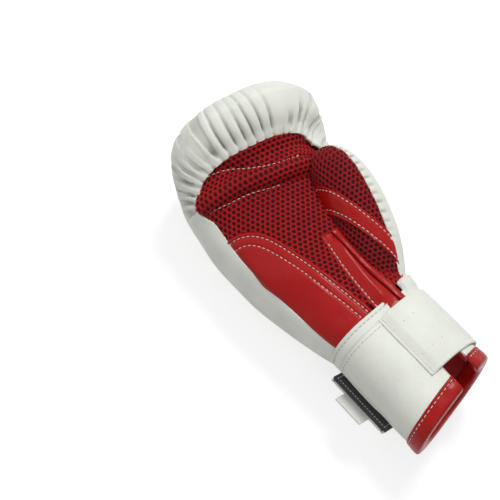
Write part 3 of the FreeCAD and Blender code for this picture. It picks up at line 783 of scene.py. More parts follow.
def palm_field(p):
    """Positive on the palm's side of the seam between the cover and the palm."""
    share = np.clip(share_of(p), -0.19, SEAM_SHARE)
    slope = (seam_height(share + 0.001) - seam_height(share - 0.001)) / (0.002 * MITT_LENGTH)
    field = (p[..., 2] - seam_height(share)) / np.sqrt(1 + slope**2)
    return np.where(share_of(p) > SEAM_SHARE, -np.abs(field) - 5, field)


def on_plan(x, share):
    """A place on the plan of the leaning glove."""
    return bent([x, CUFF_LENGTH + share * MITT_LENGTH, 0])[:2]


def tree_of(points):
    """A tree that finds the nearest of these points."""
    tree = KDTree(len(points))
    for k, point in enumerate(points):
        tree.insert(point, k)
    tree.balance()
    return tree


class Edge:
    """A smooth line on the plan of the leaning glove, through (x, share) points."""

    def __init__(self, stations):
        corners = np.array([on_plan(x, share) for x, share in stations])
        far = walked(corners)
        walk = np.arange(0, far[-1], 0.5)
        self.points = np.stack([monotone(far, corners[:, k])(walk) for k in (0, 1)], -1)
        way = unit(np.gradient(self.points, axis=0))
        self.right = np.stack([way[:, 1], -way[:, 0]], -1)
        self.tree = tree_of([(*point, 0) for point in self.points])

    def field(self, p):
        """Distance to the right of the line, for straight points."""
        plan = bent(p)[..., :2]
        nearest = np.array([self.tree.find((x, y, 0))[1] for x, y in plan])
        return ((plan - self.points[nearest]) * self.right[nearest]).sum(-1)

    def beside(self, distance):
        """The line moved to its right, in millimetres on the plan."""
        return self.points + self.right * distance


heel_edge = Edge(HEEL_EDGE)


def heel_field(p):
    """Positive on the leather panel at the heel of the hand."""
    return heel_edge.field(p)


def slit_lines(y, most=1.0):
    """The middle of the slit at y, and half its width."""
    share = np.clip(y / SLIT_APEX_Y, 0, most)
    half = (SLIT_MOUTH_WIDTH + share * (SLIT_APEX_WIDTH - SLIT_MOUTH_WIDTH)) / 2
    return SLIT_MOUTH_X + share * (SLIT_APEX_X - SLIT_MOUTH_X), half


def slit_field(p):
    """Distance outside the slit's edges, negative in the slit."""
    centre, half = slit_lines(p[..., 1])
    beside = np.abs(p[..., 0] - centre) - half
    return np.where(p[..., 2] > CUFF_Z, np.maximum(beside, p[..., 1] - SLIT_APEX_Y), 99.0)


def slit_side(p):
    """Distance from the slit's palm-side edge towards the palm."""
    centre, half = slit_lines(p[..., 1], 1.1)
    return centre - half - p[..., 0]


def placket_field(p):
    """Positive on the folded leather along the slit's palm side, which leans out over the slit."""
    lap = 2 * slit_lines(p[..., 1])[1] - PLACKET_GAP
    inside = np.minimum(PLACKET_WIDTH - slit_side(p), slit_side(p) + lap)
    return np.minimum(inside, SLIT_APEX_Y + 3 - p[..., 1])
# %% [markdown]
# ## Gathers
#
# The cover is gathered into its seam: a pleat about every seven millimetres, deep at the seam and running
# out over the padding. A pleat is a sharp valley between round ridges: a narrow dent, with one minus the
# size of a sine to widen it. Each valley has its own depth and length, from a seeded random table, or they
# would look stamped.

# %% The gathered seam
rng = np.random.default_rng(7)
PLEAT_PITCH, PLEAT_START, PLEAT_COUNT, PLEAT_CREASE, PLEAT_RIDGE = 7.2, 0.45, 80, 1.15, 0.8
TUCK_DEPTH, TUCK_SHARE, TUCK_WIDTH, SEAM_LAP = 5.0, 0.725, 0.042, 1.4
seam_t = np.linspace(0.02, 0.60, 900)
seam_row = np.linspace(s_of(0.05), s_of(SEAM_SHARE), 260)
seam_value = palm_field(mitt_skin.at(*np.meshgrid(seam_row, seam_t, indexing="xy")))
crossings = [np.nonzero((v[:-1] > 0) & (v[1:] <= 0))[0] for v in seam_value]
seam_last = np.array([found[-1] if len(found) else -1 for found in crossings])
seam_places = np.stack([seam_row[seam_last], seam_t], -1)[seam_last >= 0]
seam_points = mitt_points(seam_places)[0]
seam_walk, seam_tree = walked(seam_points), tree_of(seam_points)
print("gather seam", seam_walk[-1].round(), "mm, from", seam_points[0].round(), "to", seam_points[-1].round())


def along_seam(p):
    """How far along the gathered seam each point is, and how far away from it, in millimetres."""
    found = [seam_tree.find(point) for point in p]
    return seam_walk[[f[1] for f in found]], np.array([f[2] for f in found])


# %% The shape of the pleats
pleat_depth = rng.uniform(2.4, 4.6, PLEAT_COUNT)
pleat_length = rng.uniform(16, 42, PLEAT_COUNT)
pleat_shift = rng.uniform(-0.18, 0.18, PLEAT_COUNT)


def tuck(p):
    """How far the side of the fist draws in above the thumb."""
    across = ease(26, 46, p[..., 0]) * ease(50, 66, p[..., 2])
    return TUCK_DEPTH * dent(share_of(p) - TUCK_SHARE, TUCK_WIDTH) * across


def cover_relief(p, places=None):
    """Height of the cover over the drawing, and how deep in a crease each point is, for painted shade."""
    walk, away = along_seam(p)
    share = share_of(p)
    phase = PLEAT_START + walk / PLEAT_PITCH + 0.16 * np.sin(away / 11 + walk / 14)
    index = np.rint(phase).astype(int) % PLEAT_COUNT
    phase = phase + pleat_shift[index] * np.cos(math.pi * (phase - np.rint(phase))) ** 2
    gathered = ease(0.36, 0.47, share) * (1 - ease(0.93, 0.99, share))
    fall = np.exp(-((away / pleat_length[index]) ** 1.5)) * (0.28 + 0.72 * ease(0.5, 7, away))
    from_valley = np.abs(phase - np.rint(phase)) * PLEAT_PITCH
    valley = 0.6 * dent(from_valley, PLEAT_CREASE) + 0.4 * (1 - np.abs(np.sin(math.pi * phase)) ** 0.7)
    ridge = PLEAT_RIDGE * dent(away - 9, 11) * (1 - valley)
    height = gathered * (-pleat_depth[index] * fall * valley * (1 - 0.08 * tuck(p)) + ridge)
    height = height + 0.5 * gathered * ease(6, 0, away) + 0.35 * waves(p, 46, 3) * ease(0.02, 0.2, share)
    height = height - tuck(p)
    # The second value is painted shade in the pleats' valleys.
    return height, gathered * fall * np.clip(1.25 * valley - 0.1, 0, 1)


# %% [markdown]
# ## The white cover
#
# One closed tube from the wrist to the front of the fist, cut along the seam with the palm. Its last rows
# draw in to one point, which closes the front. It stands for the leather and for the foam it holds.

# %% Cover
cover_rows = rows_between(-0.001, 1.0, 1.2)
cover_rows = np.concatenate([cover_rows, mitt_skin.rows - 1 + np.array([0.35, 0.7, 1.0])])
cover = leather_piece(
    "cover_leather",
    grid_chart(cover_rows, np.linspace(0.0, 1.0, 471)),
    (lambda p: SEAM_LAP - palm_field(p),),
    cover_relief,
    white_leather,
    hem_depth=2.4,
    closed=True,
)
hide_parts("back_cover", "knuckle_padding_outer", "knuckle_padding_inner")

# %% [markdown]
# ## The palm's leather
#
# A glossy panel covers the heel of the hand. It lies over the mesh, so it stands a little higher, with a
# rolled top edge and two rows of stitches that pull it down. A folded strip, the placket, runs up the slit.

# %% Relief of the palm
STITCH_HIGH = [(-70, 0.731), (-53, 0.728), (-45.6, 0.724), (-31.4, 0.712), (-14.7, 0.678), (2.2, 0.648)]
STITCH_HIGH = monotone(*zip(*STITCH_HIGH, (17.4, 0.641), (60, 0.640)))
STITCH_LOW = [(-70, 0.623), (-58.7, 0.621), (-44.7, 0.609), (-31.6, 0.602), (-16.3, 0.594), (-5.1, 0.584)]
STITCH_LOW = monotone(*zip(*STITCH_LOW, (60, 0.560)))
HEEL_ROWS = (3.2, 9.4)
GRIP_ROLL, THUMB_HOLLOW, STITCH_PULL, STITCH_SPREAD, PALM_EDGE = 3.2, 3.5, 1.3, 2.4, 1.7
HEEL_RIM, HEEL_ROLL, HEEL_PULL, HEEL_SWELL = 0.9, 0.55, 0.55, 0.8
PLACKET_RIM, PLACKET_FOLD, PLACKET_PULL, SLIT_EDGE_RIM, SLIT_EDGE_ROLL = 0.9, 2.4, 0.45, 0.8, 0.5


def palm_relief(p, places=None):
    """Height of the mesh: a roll over the grip bar between two rows of stitches, drawn down at its seams."""
    share = share_of(p)
    high, low = STITCH_HIGH(p[..., 0]), STITCH_LOW(p[..., 0])
    across = np.clip((share - low) / (high - low), 0, 1)
    roll = GRIP_ROLL * np.sin(math.pi * across) ** 0.8 * (1 - ease(22, 33, p[..., 0]))
    hollow = ease(20, 34, p[..., 0]) * ease(0.40, 0.52, share) * (1 - ease(0.68, 0.74, share))
    rows = sum(dent((share - row) * MITT_LENGTH, STITCH_SPREAD) for row in (high, low))
    pulled = STITCH_PULL * rows + PALM_EDGE * dent(palm_field(p), 1.8) + tuck(p) + THUMB_HOLLOW * hollow
    return roll - pulled + 0.5 * waves(p, 40, 11) * ease(0.05, 0.2, share) - 0.2, rows * 0


def heel_relief(p, places=None):
    """Height of the heel panel over the mesh, with its rolled edge, its stitch rows and soft dents."""
    inside = heel_field(p)
    base, _ = palm_relief(p)
    roll = HEEL_ROLL * dent(inside - 1.6, 1.3)
    rows = sum(dent(inside - row, 0.9) for row in HEEL_ROWS)
    swell = HEEL_SWELL * waves(p * [1, 1, 0.4], 26, 5) * ease(8, 20, inside) * ease(5, 20, palm_field(p))
    # Painted shade along the first row of stitches and at the panel's edge.
    crease = 0.5 * dent(inside - HEEL_ROWS[0], 1.2) + 0.7 * dent(inside, 0.9)
    return base + HEEL_RIM * ease(0, 1.2, inside) + roll - HEEL_PULL * rows + swell, crease


def under_strap(p):
    """1 above the strap and 0.15 below it, where the strap presses the leather flat."""
    return 1 - 0.85 * ease(CUFF_LENGTH + 9, CUFF_LENGTH - 5, p[..., 1])


def placket_relief(p, places=None):
    """Height of the placket: a fold that stands up along the slit."""
    from_slit = slit_side(p)
    fold = PLACKET_FOLD * dent(from_slit + 1.0, 4.2) * ease(SLIT_APEX_Y + 3, SLIT_APEX_Y - 16, p[..., 1])
    row = dent(from_slit - PLACKET_WIDTH + PLACKET_STITCH, 0.8)
    height = PLACKET_RIM * ease(0, 1.0, placket_field(p)) + fold - PLACKET_PULL * row
    # The second value is painted shade along the row of stitches.
    return (height + 0.25 * waves(p, 22, 9)) * under_strap(p), 0.5 * row


def slit_edge_relief(p, places=None):
    """Height of the narrow binding along the slit's other side."""
    height = SLIT_EDGE_RIM + SLIT_EDGE_ROLL * dent(slit_field(p) - 2, 1.5) + 0.2 * waves(p, 18, 4)
    return height * under_strap(p), 0 * p[..., 0]


# %% Panels of the palm
heel = leather_piece(
    "heel_leather",
    grid_chart(rows_between(0.005, 0.51, 0.8), np.linspace(0.22, 0.46, 120)),
    (heel_field, palm_field, lambda p: 1.0 - placket_field(p), slit_field),
    heel_relief,
    red_leather,
)
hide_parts("heel_panel")
placket = leather_piece(
    "placket_leather",
    grid_chart(rows_between(-0.028, 0.35, 0.8), np.linspace(0.16, 0.27, 70)),
    (placket_field, palm_field),
    placket_relief,
    red_leather,
)
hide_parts("slit_placket")
slit_edge = leather_piece(
    "slit_edge_leather",
    grid_chart(rows_between(-0.028, 0.345, 0.8), np.linspace(0.13, 0.24, 70)),
    (slit_field, lambda p: SLIT_BINDING_WIDTH - slit_field(p), lambda p: p[..., 0] - SLIT_APEX_X),
    slit_edge_relief,
    red_leather,
)
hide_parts("slit_binding")

# %% [markdown]
# ## Spacer mesh
#
# The mesh's holes are real here. A Geometry Nodes tree lays out a flat sheet of cells: a sheared grid of
# triangles, whose dual is hexagons, each drawn in to a smaller hexagon and pushed down. One subdivision
# rounds the holes as knitting does. The flat sheet is then draped over the palm by the length of the
# surface, so that a cell keeps its size wherever it lands.

# %% The flat sheet of cells
CELL_PITCH, CELL_DEPTH, CELL_OPEN, PALM_SHEET = 4.0, 1.4, 0.76, (150, 165)


def new_tree(name, sizes):
    """An empty Geometry Nodes tree with these named inputs, and its inputs and its result as sockets."""
    tree = bpy.data.node_groups.new(name, "GeometryNodeTree")
    tree.interface.new_socket("Geometry", in_out="INPUT", socket_type="NodeSocketGeometry")
    for label, (kind, value) in sizes.items():
        socket = tree.interface.new_socket(label, in_out="INPUT", socket_type="NodeSocket" + kind)
        if value is not None:
            socket.default_value = value
    tree.interface.new_socket("Geometry", in_out="OUTPUT", socket_type="NodeSocketGeometry")
    return tree, tree.nodes.new("NodeGroupInput").outputs, tree.nodes.new("NodeGroupOutput").inputs[0]


def grown(tree, name, values, seed_mesh=None):
    """The plain mesh that a tree makes with these inputs, with its modifier gone."""
    holder = bpy.data.objects.new(name + "_holder", seed_mesh or bpy.data.meshes.new(name + "_seed"))
    bpy.context.scene.collection.objects.link(holder)
    modifier = holder.modifiers.new("nodes", "NODES")
    modifier.node_group = tree
    for item in tree.interface.items_tree:
        if item.in_out == "INPUT" and item.name in values:
            modifier[item.identifier] = values[item.name]
    depsgraph = bpy.context.evaluated_depsgraph_get()
    mesh = bpy.data.meshes.new_from_object(holder.evaluated_get(depsgraph))
    bpy.data.objects.remove(holder)
    mesh.name = name
    return mesh


def cell_tree():
    """Cells of spacer mesh on a flat sheet, with their pitch and depth in metres and their open share."""
    sizes = {"Pitch": ("Float", 0.005), "Columns": ("Int", 30), "Rows": ("Int", 30)}
    sizes |= {"Open": ("Float", 0.6), "Depth": ("Float", 0.0015), "Material": ("Material", None)}
    tree, g, result = new_tree("spacer_cells", sizes)

    def made(kind, inputs, **values):
        return node(tree, "GeometryNode" + kind, inputs, **values).outputs

    grid = made("MeshGrid", {"Vertices X": g["Columns"], "Vertices Y": g["Rows"]}, Size_X=1.0, Size_Y=1.0)
    place = node(tree, "GeometryNodeInputPosition").outputs[0]
    place = node(tree, "ShaderNodeSeparateXYZ", {"Vector": place}).outputs
    column, row = (
        maths(tree, "MULTIPLY", place[axis], maths(tree, "SUBTRACT", g[count], 1))
        for axis, count in (("X", "Columns"), ("Y", "Rows"))
    )
    skewed = maths(tree, "ADD", column, maths(tree, "MULTIPLY", row, 0.5))
    x = maths(tree, "MULTIPLY", skewed, g["Pitch"])
    y = maths(tree, "MULTIPLY", maths(tree, "MULTIPLY", row, g["Pitch"]), math.sqrt(3) / 2)
    where = node(tree, "ShaderNodeCombineXYZ", {"X": x, "Y": y}).outputs[0]
    lattice = made("SetPosition", {"Geometry": grid["Mesh"], "Position": where})
    triangles = made("Triangulate", {"Mesh": lattice[0]}, quad_method="SHORTEST_DIAGONAL")
    cells = made("DualMesh", {"Mesh": triangles[0]})
    rib = made("ExtrudeMesh", {"Mesh": cells[0], "Individual": True}, mode="FACES", Offset_Scale=0.0)
    inner = {"Geometry": rib["Mesh"], "Selection": rib["Top"], "Scale": g["Open"]}
    drawn = made("ScaleElements", inner)
    sunk = {"Offset Scale": maths(tree, "MULTIPLY", g["Depth"], -1.0), "Individual": True}
    hole = made("ExtrudeMesh", {"Mesh": drawn[0], "Selection": rib["Top"], **sunk}, mode="FACES")
    round_holes = made("SubdivisionSurface", {"Mesh": hole["Mesh"]}, Level=1)
    finish = made("RealizeInstances", {"Geometry": round_holes[0]})
    dressed = made("SetMaterial", {"Geometry": finish[0], "Material": g["Material"]})
    tree.links.new(dressed[0], result)
    return tree


cells = cell_tree()


def points_in(mesh):
    """All the points of a mesh."""
    points = np.empty(len(mesh.vertices) * 3)
    mesh.vertices.foreach_get("co", points)
    return points.reshape(-1, 3)


def cell_sheet(name, width, length, material, pitch=CELL_PITCH):
    """A flat sheet of cells: its points in millimetres about the middle of its near edge, and its faces."""
    row_count = int(length / pitch / 0.866) + 3
    column_count = int(width / pitch + row_count / 2) + 4
    values = {"Pitch": pitch * MM, "Columns": column_count, "Rows": row_count}
    values |= {"Open": CELL_OPEN, "Depth": CELL_DEPTH * MM, "Material": material}
    flat = grown(cells, name, values)
    points = points_in(flat) / MM
    faces = [tuple(face.vertices) for face in flat.polygons]
    points[:, 1] -= points[:, 1].min()
    keep = np.abs(points[:, 0]) < width / 2 + pitch
    faces = [face for face in faces if keep[list(face)].all()]
    bpy.data.meshes.remove(flat)
    return tidy(points, faces)


sheet_points, sheet_faces = cell_sheet("palm_cells", *PALM_SHEET, red_mesh)
print("flat sheet", len(sheet_faces), "faces, to", sheet_points.max(0).round(1))

# %% [markdown]
# ## Draping the sheet
#
# The sheet's middle line lies along the palm, and each crosswise row is wrapped to both sides by its own
# length. A table of those lengths turns a place on the flat sheet into a place on the surface.

# %% The palm's mesh
SHEET_FROM, SHEET_TO, SHEET_T, SHEET_REACH = 0.03, 0.775, 0.25, 0.24
palm_rows = rows_between(SHEET_FROM, SHEET_TO, 1.5)
palm_walk = walked(mitt_skin.at(palm_rows, np.full_like(palm_rows, SHEET_T)))
palm_t = np.linspace(SHEET_T - SHEET_REACH, SHEET_T + SHEET_REACH, 161)
palm_table = [walked(mitt_skin.at(np.full_like(palm_t, s), palm_t)) for s in palm_rows]
palm_table = [far - np.interp(SHEET_T, palm_t, far) for far in palm_table]


def draped(flat):
    """Places on the mitt for points of the flat sheet, whose +X is towards the thumb."""
    number = np.arange(len(palm_rows))
    row = np.interp(flat[:, 1], palm_walk, number)
    low = np.clip(np.floor(row).astype(int), 0, number[-2])
    t = np.zeros(len(flat))
    for k in number[:-1]:
        here = low == k
        one, two = (np.interp(-flat[here, 0], palm_table[j], palm_t) for j in (k, k + 1))
        t[here] = one + (two - one) * (row - low)[here]
    return np.stack([np.interp(row, number, palm_rows), t, flat[:, 2]], -1)


def mesh_piece(name, sheet, fields, relief, material, points_of=mitt_points, carry=bent):
    """Spacer mesh on the glove: a sheet cut by its fields, lifted by its own depth and by the relief."""
    places, faces = cut_chart(sheet, fields, points_of)
    p, normals = points_of(places)
    p = p + normals * (relief(p) + places[:, 2])[:, None]
    pile = 1 + places[:, 2] / CELL_DEPTH
    return new_piece(name, placed(carry(p)), faces, material, slot="red_mesh", pile=pile)


palm_cloth = mesh_piece(
    "palm_spacer_mesh",
    (draped(sheet_points), sheet_faces),
    (
        palm_field,
        lambda p: 1.5 - heel_field(p),
        lambda p: 1.0 - placket_field(p),
        lambda p: slit_field(p) - SLIT_BINDING_WIDTH + 1,
    ),
    lambda p: palm_relief(p)[0] + 0.5,
    red_mesh,
)
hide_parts("palm_mesh", "palm_padding", "grip_bar")

# %% [markdown]
# ## The thumb
#
# The thumb is a padded finger of its own beside the fist. Its outer side is the same white leather, its
# inner side is spacer mesh, and a red leather band runs across its root, sewn down along both edges.

# %% The thumb's surface and seams
thumb_middles = bent([(x, CUFF_LENGTH + share * MITT_LENGTH, z) for (x, share, z), _, _ in THUMB_SPINE])


def thumb_net(middles):
    """Elliptical sections square to the thumb's middle line, on the leaning glove."""
    turns = np.linspace(0, 2 * math.pi, 16, endpoint=False)
    net = []
    for i, (_, width, height) in enumerate(THUMB_SPINE):
        tangent = unit(middles[min(i + 1, len(middles) - 1)] - middles[max(i - 1, 0)])
        side = unit(np.cross(tangent, [0, 0, 1]))
        rise = np.cross(side, tangent)
        ring = np.outer(np.cos(turns) * width, side) + np.outer(np.sin(turns) * height, rise)
        net.append(middles[i] + ring)
    return np.array(net)


thumb_skin = Skin(thumb_net(thumb_middles))


def thumb_points(places):
    """Points of the thumb in millimetres, already on the leaning glove, and their outward normals."""
    s, t = places[:, 0], places[:, 1]
    return thumb_skin.at(s, t), thumb_skin.normals(s, t)


face_from, face_to = thumb_middles[1], thumb_middles[-3]
face_way = unit(face_to - face_from)
facing = np.array([-0.8, 0, 0.6])
facing = unit(facing - face_way * (facing @ face_way))
root_a, root_b = on_plan(7.0, 0.53), on_plan(40.0, 0.03)
root_way = unit(root_b - root_a)
BAND_FAR = BAND_WIDTH * abs(root_way[1])
GATHER_PITCH, GATHER_DEPTH, GATHER_REACH = 4.6, 1.3, 6.5


def face_field(p):
    """Positive on the side of the thumb that faces the fist and the palm."""
    return (p - face_from) @ facing


def root_field(p):
    """Distance past the line where the thumb leaves the palm."""
    offset = p[..., :2] - root_a
    return -(offset[..., 0] * root_way[1] - offset[..., 1] * root_way[0])


def thumb_relief(p, places):
    """Small gathers in the white leather along the seam with the mesh, longest round the tip."""
    away = -face_field(p)
    walk = places[:, 0] * 14
    crumple = 1 - np.abs(np.sin(math.pi * walk / GATHER_PITCH + 0.6 * np.sin(walk / 5))) ** 0.7
    near = dent(away, GATHER_REACH) * ease(1.2, 3.5, places[:, 0])
    height = 0.7 - GATHER_DEPTH * crumple * near + 0.3 * waves(p, 30, 8)
    # The second value is painted shade in the gathers' valleys.
    return height, near * crumple


# %% Thumb pieces
BAND_INSET, THUMB_LAP, THUMB_FACING_T = 1.8, 1.6, 0.40
THUMB_SHEET, THUMB_SHEET_START = (84, 135), 8
thumb_chart = grid_chart(np.linspace(0, thumb_skin.rows - 1, 130), np.linspace(0, 1, 161))
on_thumb = {"points_of": thumb_points, "carry": np.asarray}
thumb_cover = leather_piece(
    "thumb_cover_leather",
    thumb_chart,
    (lambda p: THUMB_LAP - face_field(p),),
    thumb_relief,
    white_leather,
    closed=True,
    **on_thumb,
)
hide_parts("thumb_cover", "thumb_padding")


def band_relief(p, places=None):
    """The band lies over the mesh, drawn down by a row of stitches along each edge."""
    across = root_field(p)
    rows = dent(across - BAND_INSET, 0.8) + dent(across - BAND_FAR + BAND_INSET, 0.8)
    # The second value is painted shade along the band's edge at the thumb's root.
    return 0.9 - 0.5 * rows + 0.25 * waves(p, 16, 2), 0.6 * dent(across, 0.7)


thumb_band = leather_piece(
    "thumb_band_leather",
    thumb_chart,
    (face_field, root_field, lambda p: BAND_FAR - root_field(p)),
    band_relief,
    red_leather,
    closed=True,
    **on_thumb,
)
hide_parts("thumb_band")


def thumb_mesh_relief(p):
    """The mesh lies just over the padding, drawn down at its seam."""
    return 0.3 - 0.9 * dent(face_field(p), THUMB_LAP)


def thumb_sheet(name, fields, material):
    """Spacer mesh on the thumb, with the same cells as the palm's."""
    flat, faces = cell_sheet(name + "_cells", *THUMB_SHEET, material)
    girths = np.pi * np.array([width + height for _, width, height in THUMB_SPINE])
    rows = np.arange(len(girths))
    s = np.interp(flat[:, 1] - THUMB_SHEET_START, walked(thumb_middles), rows)
    t = THUMB_FACING_T - flat[:, 0] / np.maximum(np.interp(s, rows, girths), 60.0)
    sheet = (np.stack([s, t, flat[:, 2]], -1), faces)
    return mesh_piece(name, sheet, fields, thumb_mesh_relief, material, **on_thumb)


past_band = (face_field, lambda p: root_field(p) - BAND_FAR + 1)
thumb_mesh = thumb_sheet("thumb_spacer_mesh", past_band, shaded_thumb_cloth)
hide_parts("thumb_mesh")
root_mesh = thumb_sheet("thumb_root_spacer_mesh", (face_field, lambda p: 1 - root_field(p)), root_shaded_cloth)
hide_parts("thumb_root_mesh")


# %% The white corner beside the thumb's root
CORNER_TOP, CORNER_X, CORNER_FROM_X, CORNER_FROM_Z, CORNER_RISE = CUFF_LENGTH + 11, 36, 25.5, 46, 2.6


def corner_field(p):
    """Positive on the corner of white leather that laps the thumb's root above the strap."""
    up = CORNER_TOP - 0.35 * np.abs(p[..., 0] - CORNER_X) - p[..., 1]
    return np.minimum(np.minimum(up, p[..., 0] - CORNER_FROM_X), p[..., 2] - CORNER_FROM_Z)


def corner_relief(p, places=None):
    """Height of the corner, pressed down where the strap lies over it."""
    pressed = 0.35 + 0.65 * ease(CUFF_LENGTH - 5, CUFF_LENGTH + 3, p[..., 1])
    return (CORNER_RISE * ease(0, 1.5, corner_field(p)) + 0.3 * waves(p, 14, 6)) * pressed, 0 * p[..., 0]


leather_piece(
    "wrist_corner_leather",
    grid_chart(rows_between(-0.03, 0.06, 0.8), np.linspace(0.0, 0.24, 90)),
    (corner_field, slit_field),
    corner_relief,
    white_leather,
)


# %% [markdown]
# ## The cuff
#
# The cuff is a padded tube with a rounded section. Its mouth is cut on a slant, shorter on the thumb's
# side, and bound with red leather. Every layer is the same section, grown or shrunk, so one function
# gives them all: a place is how far along, how far round, and how far out from the leather.

# %% The cuff's surface
CUFF_TOP = CUFF_LIFT + CUFF_HEIGHT
ring = rounded_section(-CUFF_WIDTH / 2, CUFF_WIDTH / 2, CUFF_LIFT, CUFF_TOP, CUFF_CORNER, CUFF_CORNER, 60)
ring_t = np.linspace(0, 1, len(ring), endpoint=False)
ring_way = unit(np.roll(ring, -1, 0) - np.roll(ring, 1, 0))
ring_out = np.stack([ring_way[:, 1], -ring_way[:, 0]], -1)


def round_ring(values, t):
    """A value kept on the ring, at any turn."""
    return np.stack([np.interp(t % 1.0, ring_t, values[:, k], period=1.0) for k in (0, 1)], -1)


def cuff_points(places):
    """Points of the cuff from (y, t, out), in millimetres, and their outward normals."""
    flat, out = round_ring(ring, places[:, 1]), unit(round_ring(ring_out, places[:, 1]))
    grown_out = flat + out * places[:, 2:3]
    normals = np.stack([out[:, 0], 0 * out[:, 0], out[:, 1]], -1)
    return np.stack([grown_out[:, 0], places[:, 0], grown_out[:, 1]], -1), normals


def mouth_y(x):
    """Where the slanted mouth lies along Y."""
    return MOUTH_SLANT * (x / CUFF_WIDTH + 0.5)


def cuff_chart(start, end, out=0.0, y_step=1.2, count=281):
    """A chart of the whole tube at one depth, from a distance inside the slanted mouth to y = end."""
    places, faces = grid_chart(np.linspace(0, 1, int((end - 6) / y_step)), np.linspace(0, 1, count))
    places = np.concatenate([places, np.full((len(places), 1), out)], 1)
    low = mouth_y(cuff_points(places)[0][:, 0]) + start
    places[:, 0] = low + (end - low) * places[:, 0]
    return places, faces


# %% The cuff's leather
CUFF_ROWS, CUFF_LAP, CUFF_START = (2.6, 8.8), 2.0, 2.0
CUFF_FULLNESS, CUFF_CREASES, CUFF_TOP_LIFT, CUFF_PULL = 0.35, 0.22, 1.5, 0.45
on_cuff = {"points_of": cuff_points, "hem_depth": 1.2, "rim_crease": 0.5, "closed": True}


def cuff_palm_side(p):
    """Positive on the palm's side of the cuff: above its middle and on the palm's side of the slit."""
    return np.minimum(p[..., 2] - CUFF_Z, SLIT_MOUTH_X - p[..., 0])


def cuff_relief(p, places=None):
    """A slight fullness of the padding, with soft creases that run round the cuff."""
    along = (p[..., 1] - mouth_y(p[..., 0])) / (CUFF_LENGTH - mouth_y(p[..., 0]))
    full = CUFF_FULLNESS * np.sin(math.pi * np.clip(along, 0, 1))
    creases = CUFF_CREASES * waves(p * [0.35, 1.6, 0.35], 26, 21)
    return full + creases * ease(0, 0.15, along), 0 * full


def cuff_top_relief(p, places=None):
    """The palm side ends in a folded edge, sewn over the heel with two rows of stitches."""
    height, crease = cuff_relief(p)
    inside = CUFF_LENGTH + CUFF_LAP - p[..., 1]
    rows = sum(dent(inside - row, 0.8) for row in CUFF_ROWS)
    lift = CUFF_TOP_LIFT * ease(16, 3, inside) * ease(CUFF_Z + 4, CUFF_Z + 16, p[..., 2])
    # The second value adds painted shade in the two rows of stitches.
    return height + lift - CUFF_PULL * rows, crease + 0.4 * rows


cuff_palm = leather_piece(
    "cuff_palm_leather",
    cuff_chart(CUFF_START, CUFF_LENGTH + CUFF_LAP),
    (cuff_palm_side, slit_field),
    cuff_top_relief,
    white_leather,
    **on_cuff,
)
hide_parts("cuff_palm_cover", "cuff_padding")
cuff_back = leather_piece(
    "cuff_back_leather",
    cuff_chart(CUFF_START, CUFF_LENGTH + 0.2),
    (lambda p: -cuff_palm_side(p), slit_field),
    cuff_relief,
    white_leather,
    **on_cuff,
)
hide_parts("cuff_back_cover")

# %% [markdown]
# ## Binding and lining
#
# The binding is one strip of leather folded over the edge. Its section is a list of places: how far out
# from the leather, and how far in from the mouth. The lining is two cloth tubes that look inwards.

# %% Binding
FOLD = [(0.1, 11.3), (0.9, 10.9), (1.15, 9.6), (0.75, 8.8), (1.15, 8.0), (1.35, 5.0), (1.25, 2.2), (0.7, 0.2)]
FOLD += [(-1.2, -0.5), (-4.2, -0.8), (-7.4, -0.5), (-9.4, 0.6), (-10.0, 2.4), (-10.0, 6.0), (-9.6, 10.6)]
FOLD += [(-8.8, 11.2), (-7.0, 9.5), (-1.5, 9.5)]


def rounded_off(outline, times=2):
    """A closed outline with its corners cut, and cut again, until it is smooth."""
    for _ in range(times):
        after = np.roll(outline, -1, axis=0)
        outline = np.stack([0.75 * outline + 0.25 * after, 0.25 * outline + 0.75 * after], 1).reshape(-1, 2)
    return outline


def fill_ends(shell):
    """Close every open end of a shell with one face."""
    bmesh.ops.holes_fill(shell, edges=[edge for edge in shell.edges if edge.is_boundary], sides=0)


def binding_piece():
    """The folded strip round the mouth, open at the slit and closed at its two ends."""
    fold = rounded_off(np.array(FOLD))
    fold = np.concatenate([fold, fold[:1]])
    places, faces = grid_chart(np.arange(len(fold)), np.linspace(0, 1, 361))
    out, inside = fold[places[:, 0].astype(int)].T
    spots = np.stack([0 * out, places[:, 1], out], -1)
    spots[:, 0] = mouth_y(cuff_points(spots)[0][:, 0]) + inside
    spots, faces = cut_chart((spots, faces), (lambda p: slit_field(p) + 0.5,), cuff_points)
    p, normals = cuff_points(spots)
    p = p + normals * (0.22 * waves(p, 14, 31))[:, None]
    faces = [face[::-1] for face in faces]
    # Painted shade in the groove of the fold, where its outer face is about 0.75 mm out.
    crease = dent(spots[:, 2] - 0.75, 0.2)
    piece = new_piece("cuff_edge_binding", placed(p), faces, red_leather, crease=crease)
    weld(piece)
    reshape(piece, fill_ends)
    return piece


binding = binding_piece()
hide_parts("cuff_binding")

# %% Linings
LINING_OUT = -(SKIN + CUFF_PAD + LINING)
HAND_MIDDLE_Z = 52
cuff_lining = leather_piece(
    "cuff_lining_cloth",
    cuff_chart(8.0, CUFF_LENGTH + 0.5, LINING_OUT, 2.0, 201),
    (slit_field,),
    lambda p, places: (0.4 * (1 + waves(p, 20, 41)) * ease(8, 24, p[..., 1]), 0 * p[..., 0]),
    red_lining,
    inwards=True,
    **on_cuff,
)
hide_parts("cuff_lining")
hand_skin = outline_skin(HAND_OUTLINE, CUFF_CORNER - SKIN - CUFF_PAD)
chart = grid_chart(np.linspace(2, hand_skin.rows - 1, 90), np.linspace(0, 1, 181))
places, faces = cut_chart(chart, (slit_field,), lambda q: (hand_skin.at(q[:, 0], q[:, 1]),))
p = hand_skin.at(places[:, 0], places[:, 1])
inwards = unit(p * [0, 1, 0] + [0, 0, HAND_MIDDLE_Z] - p)
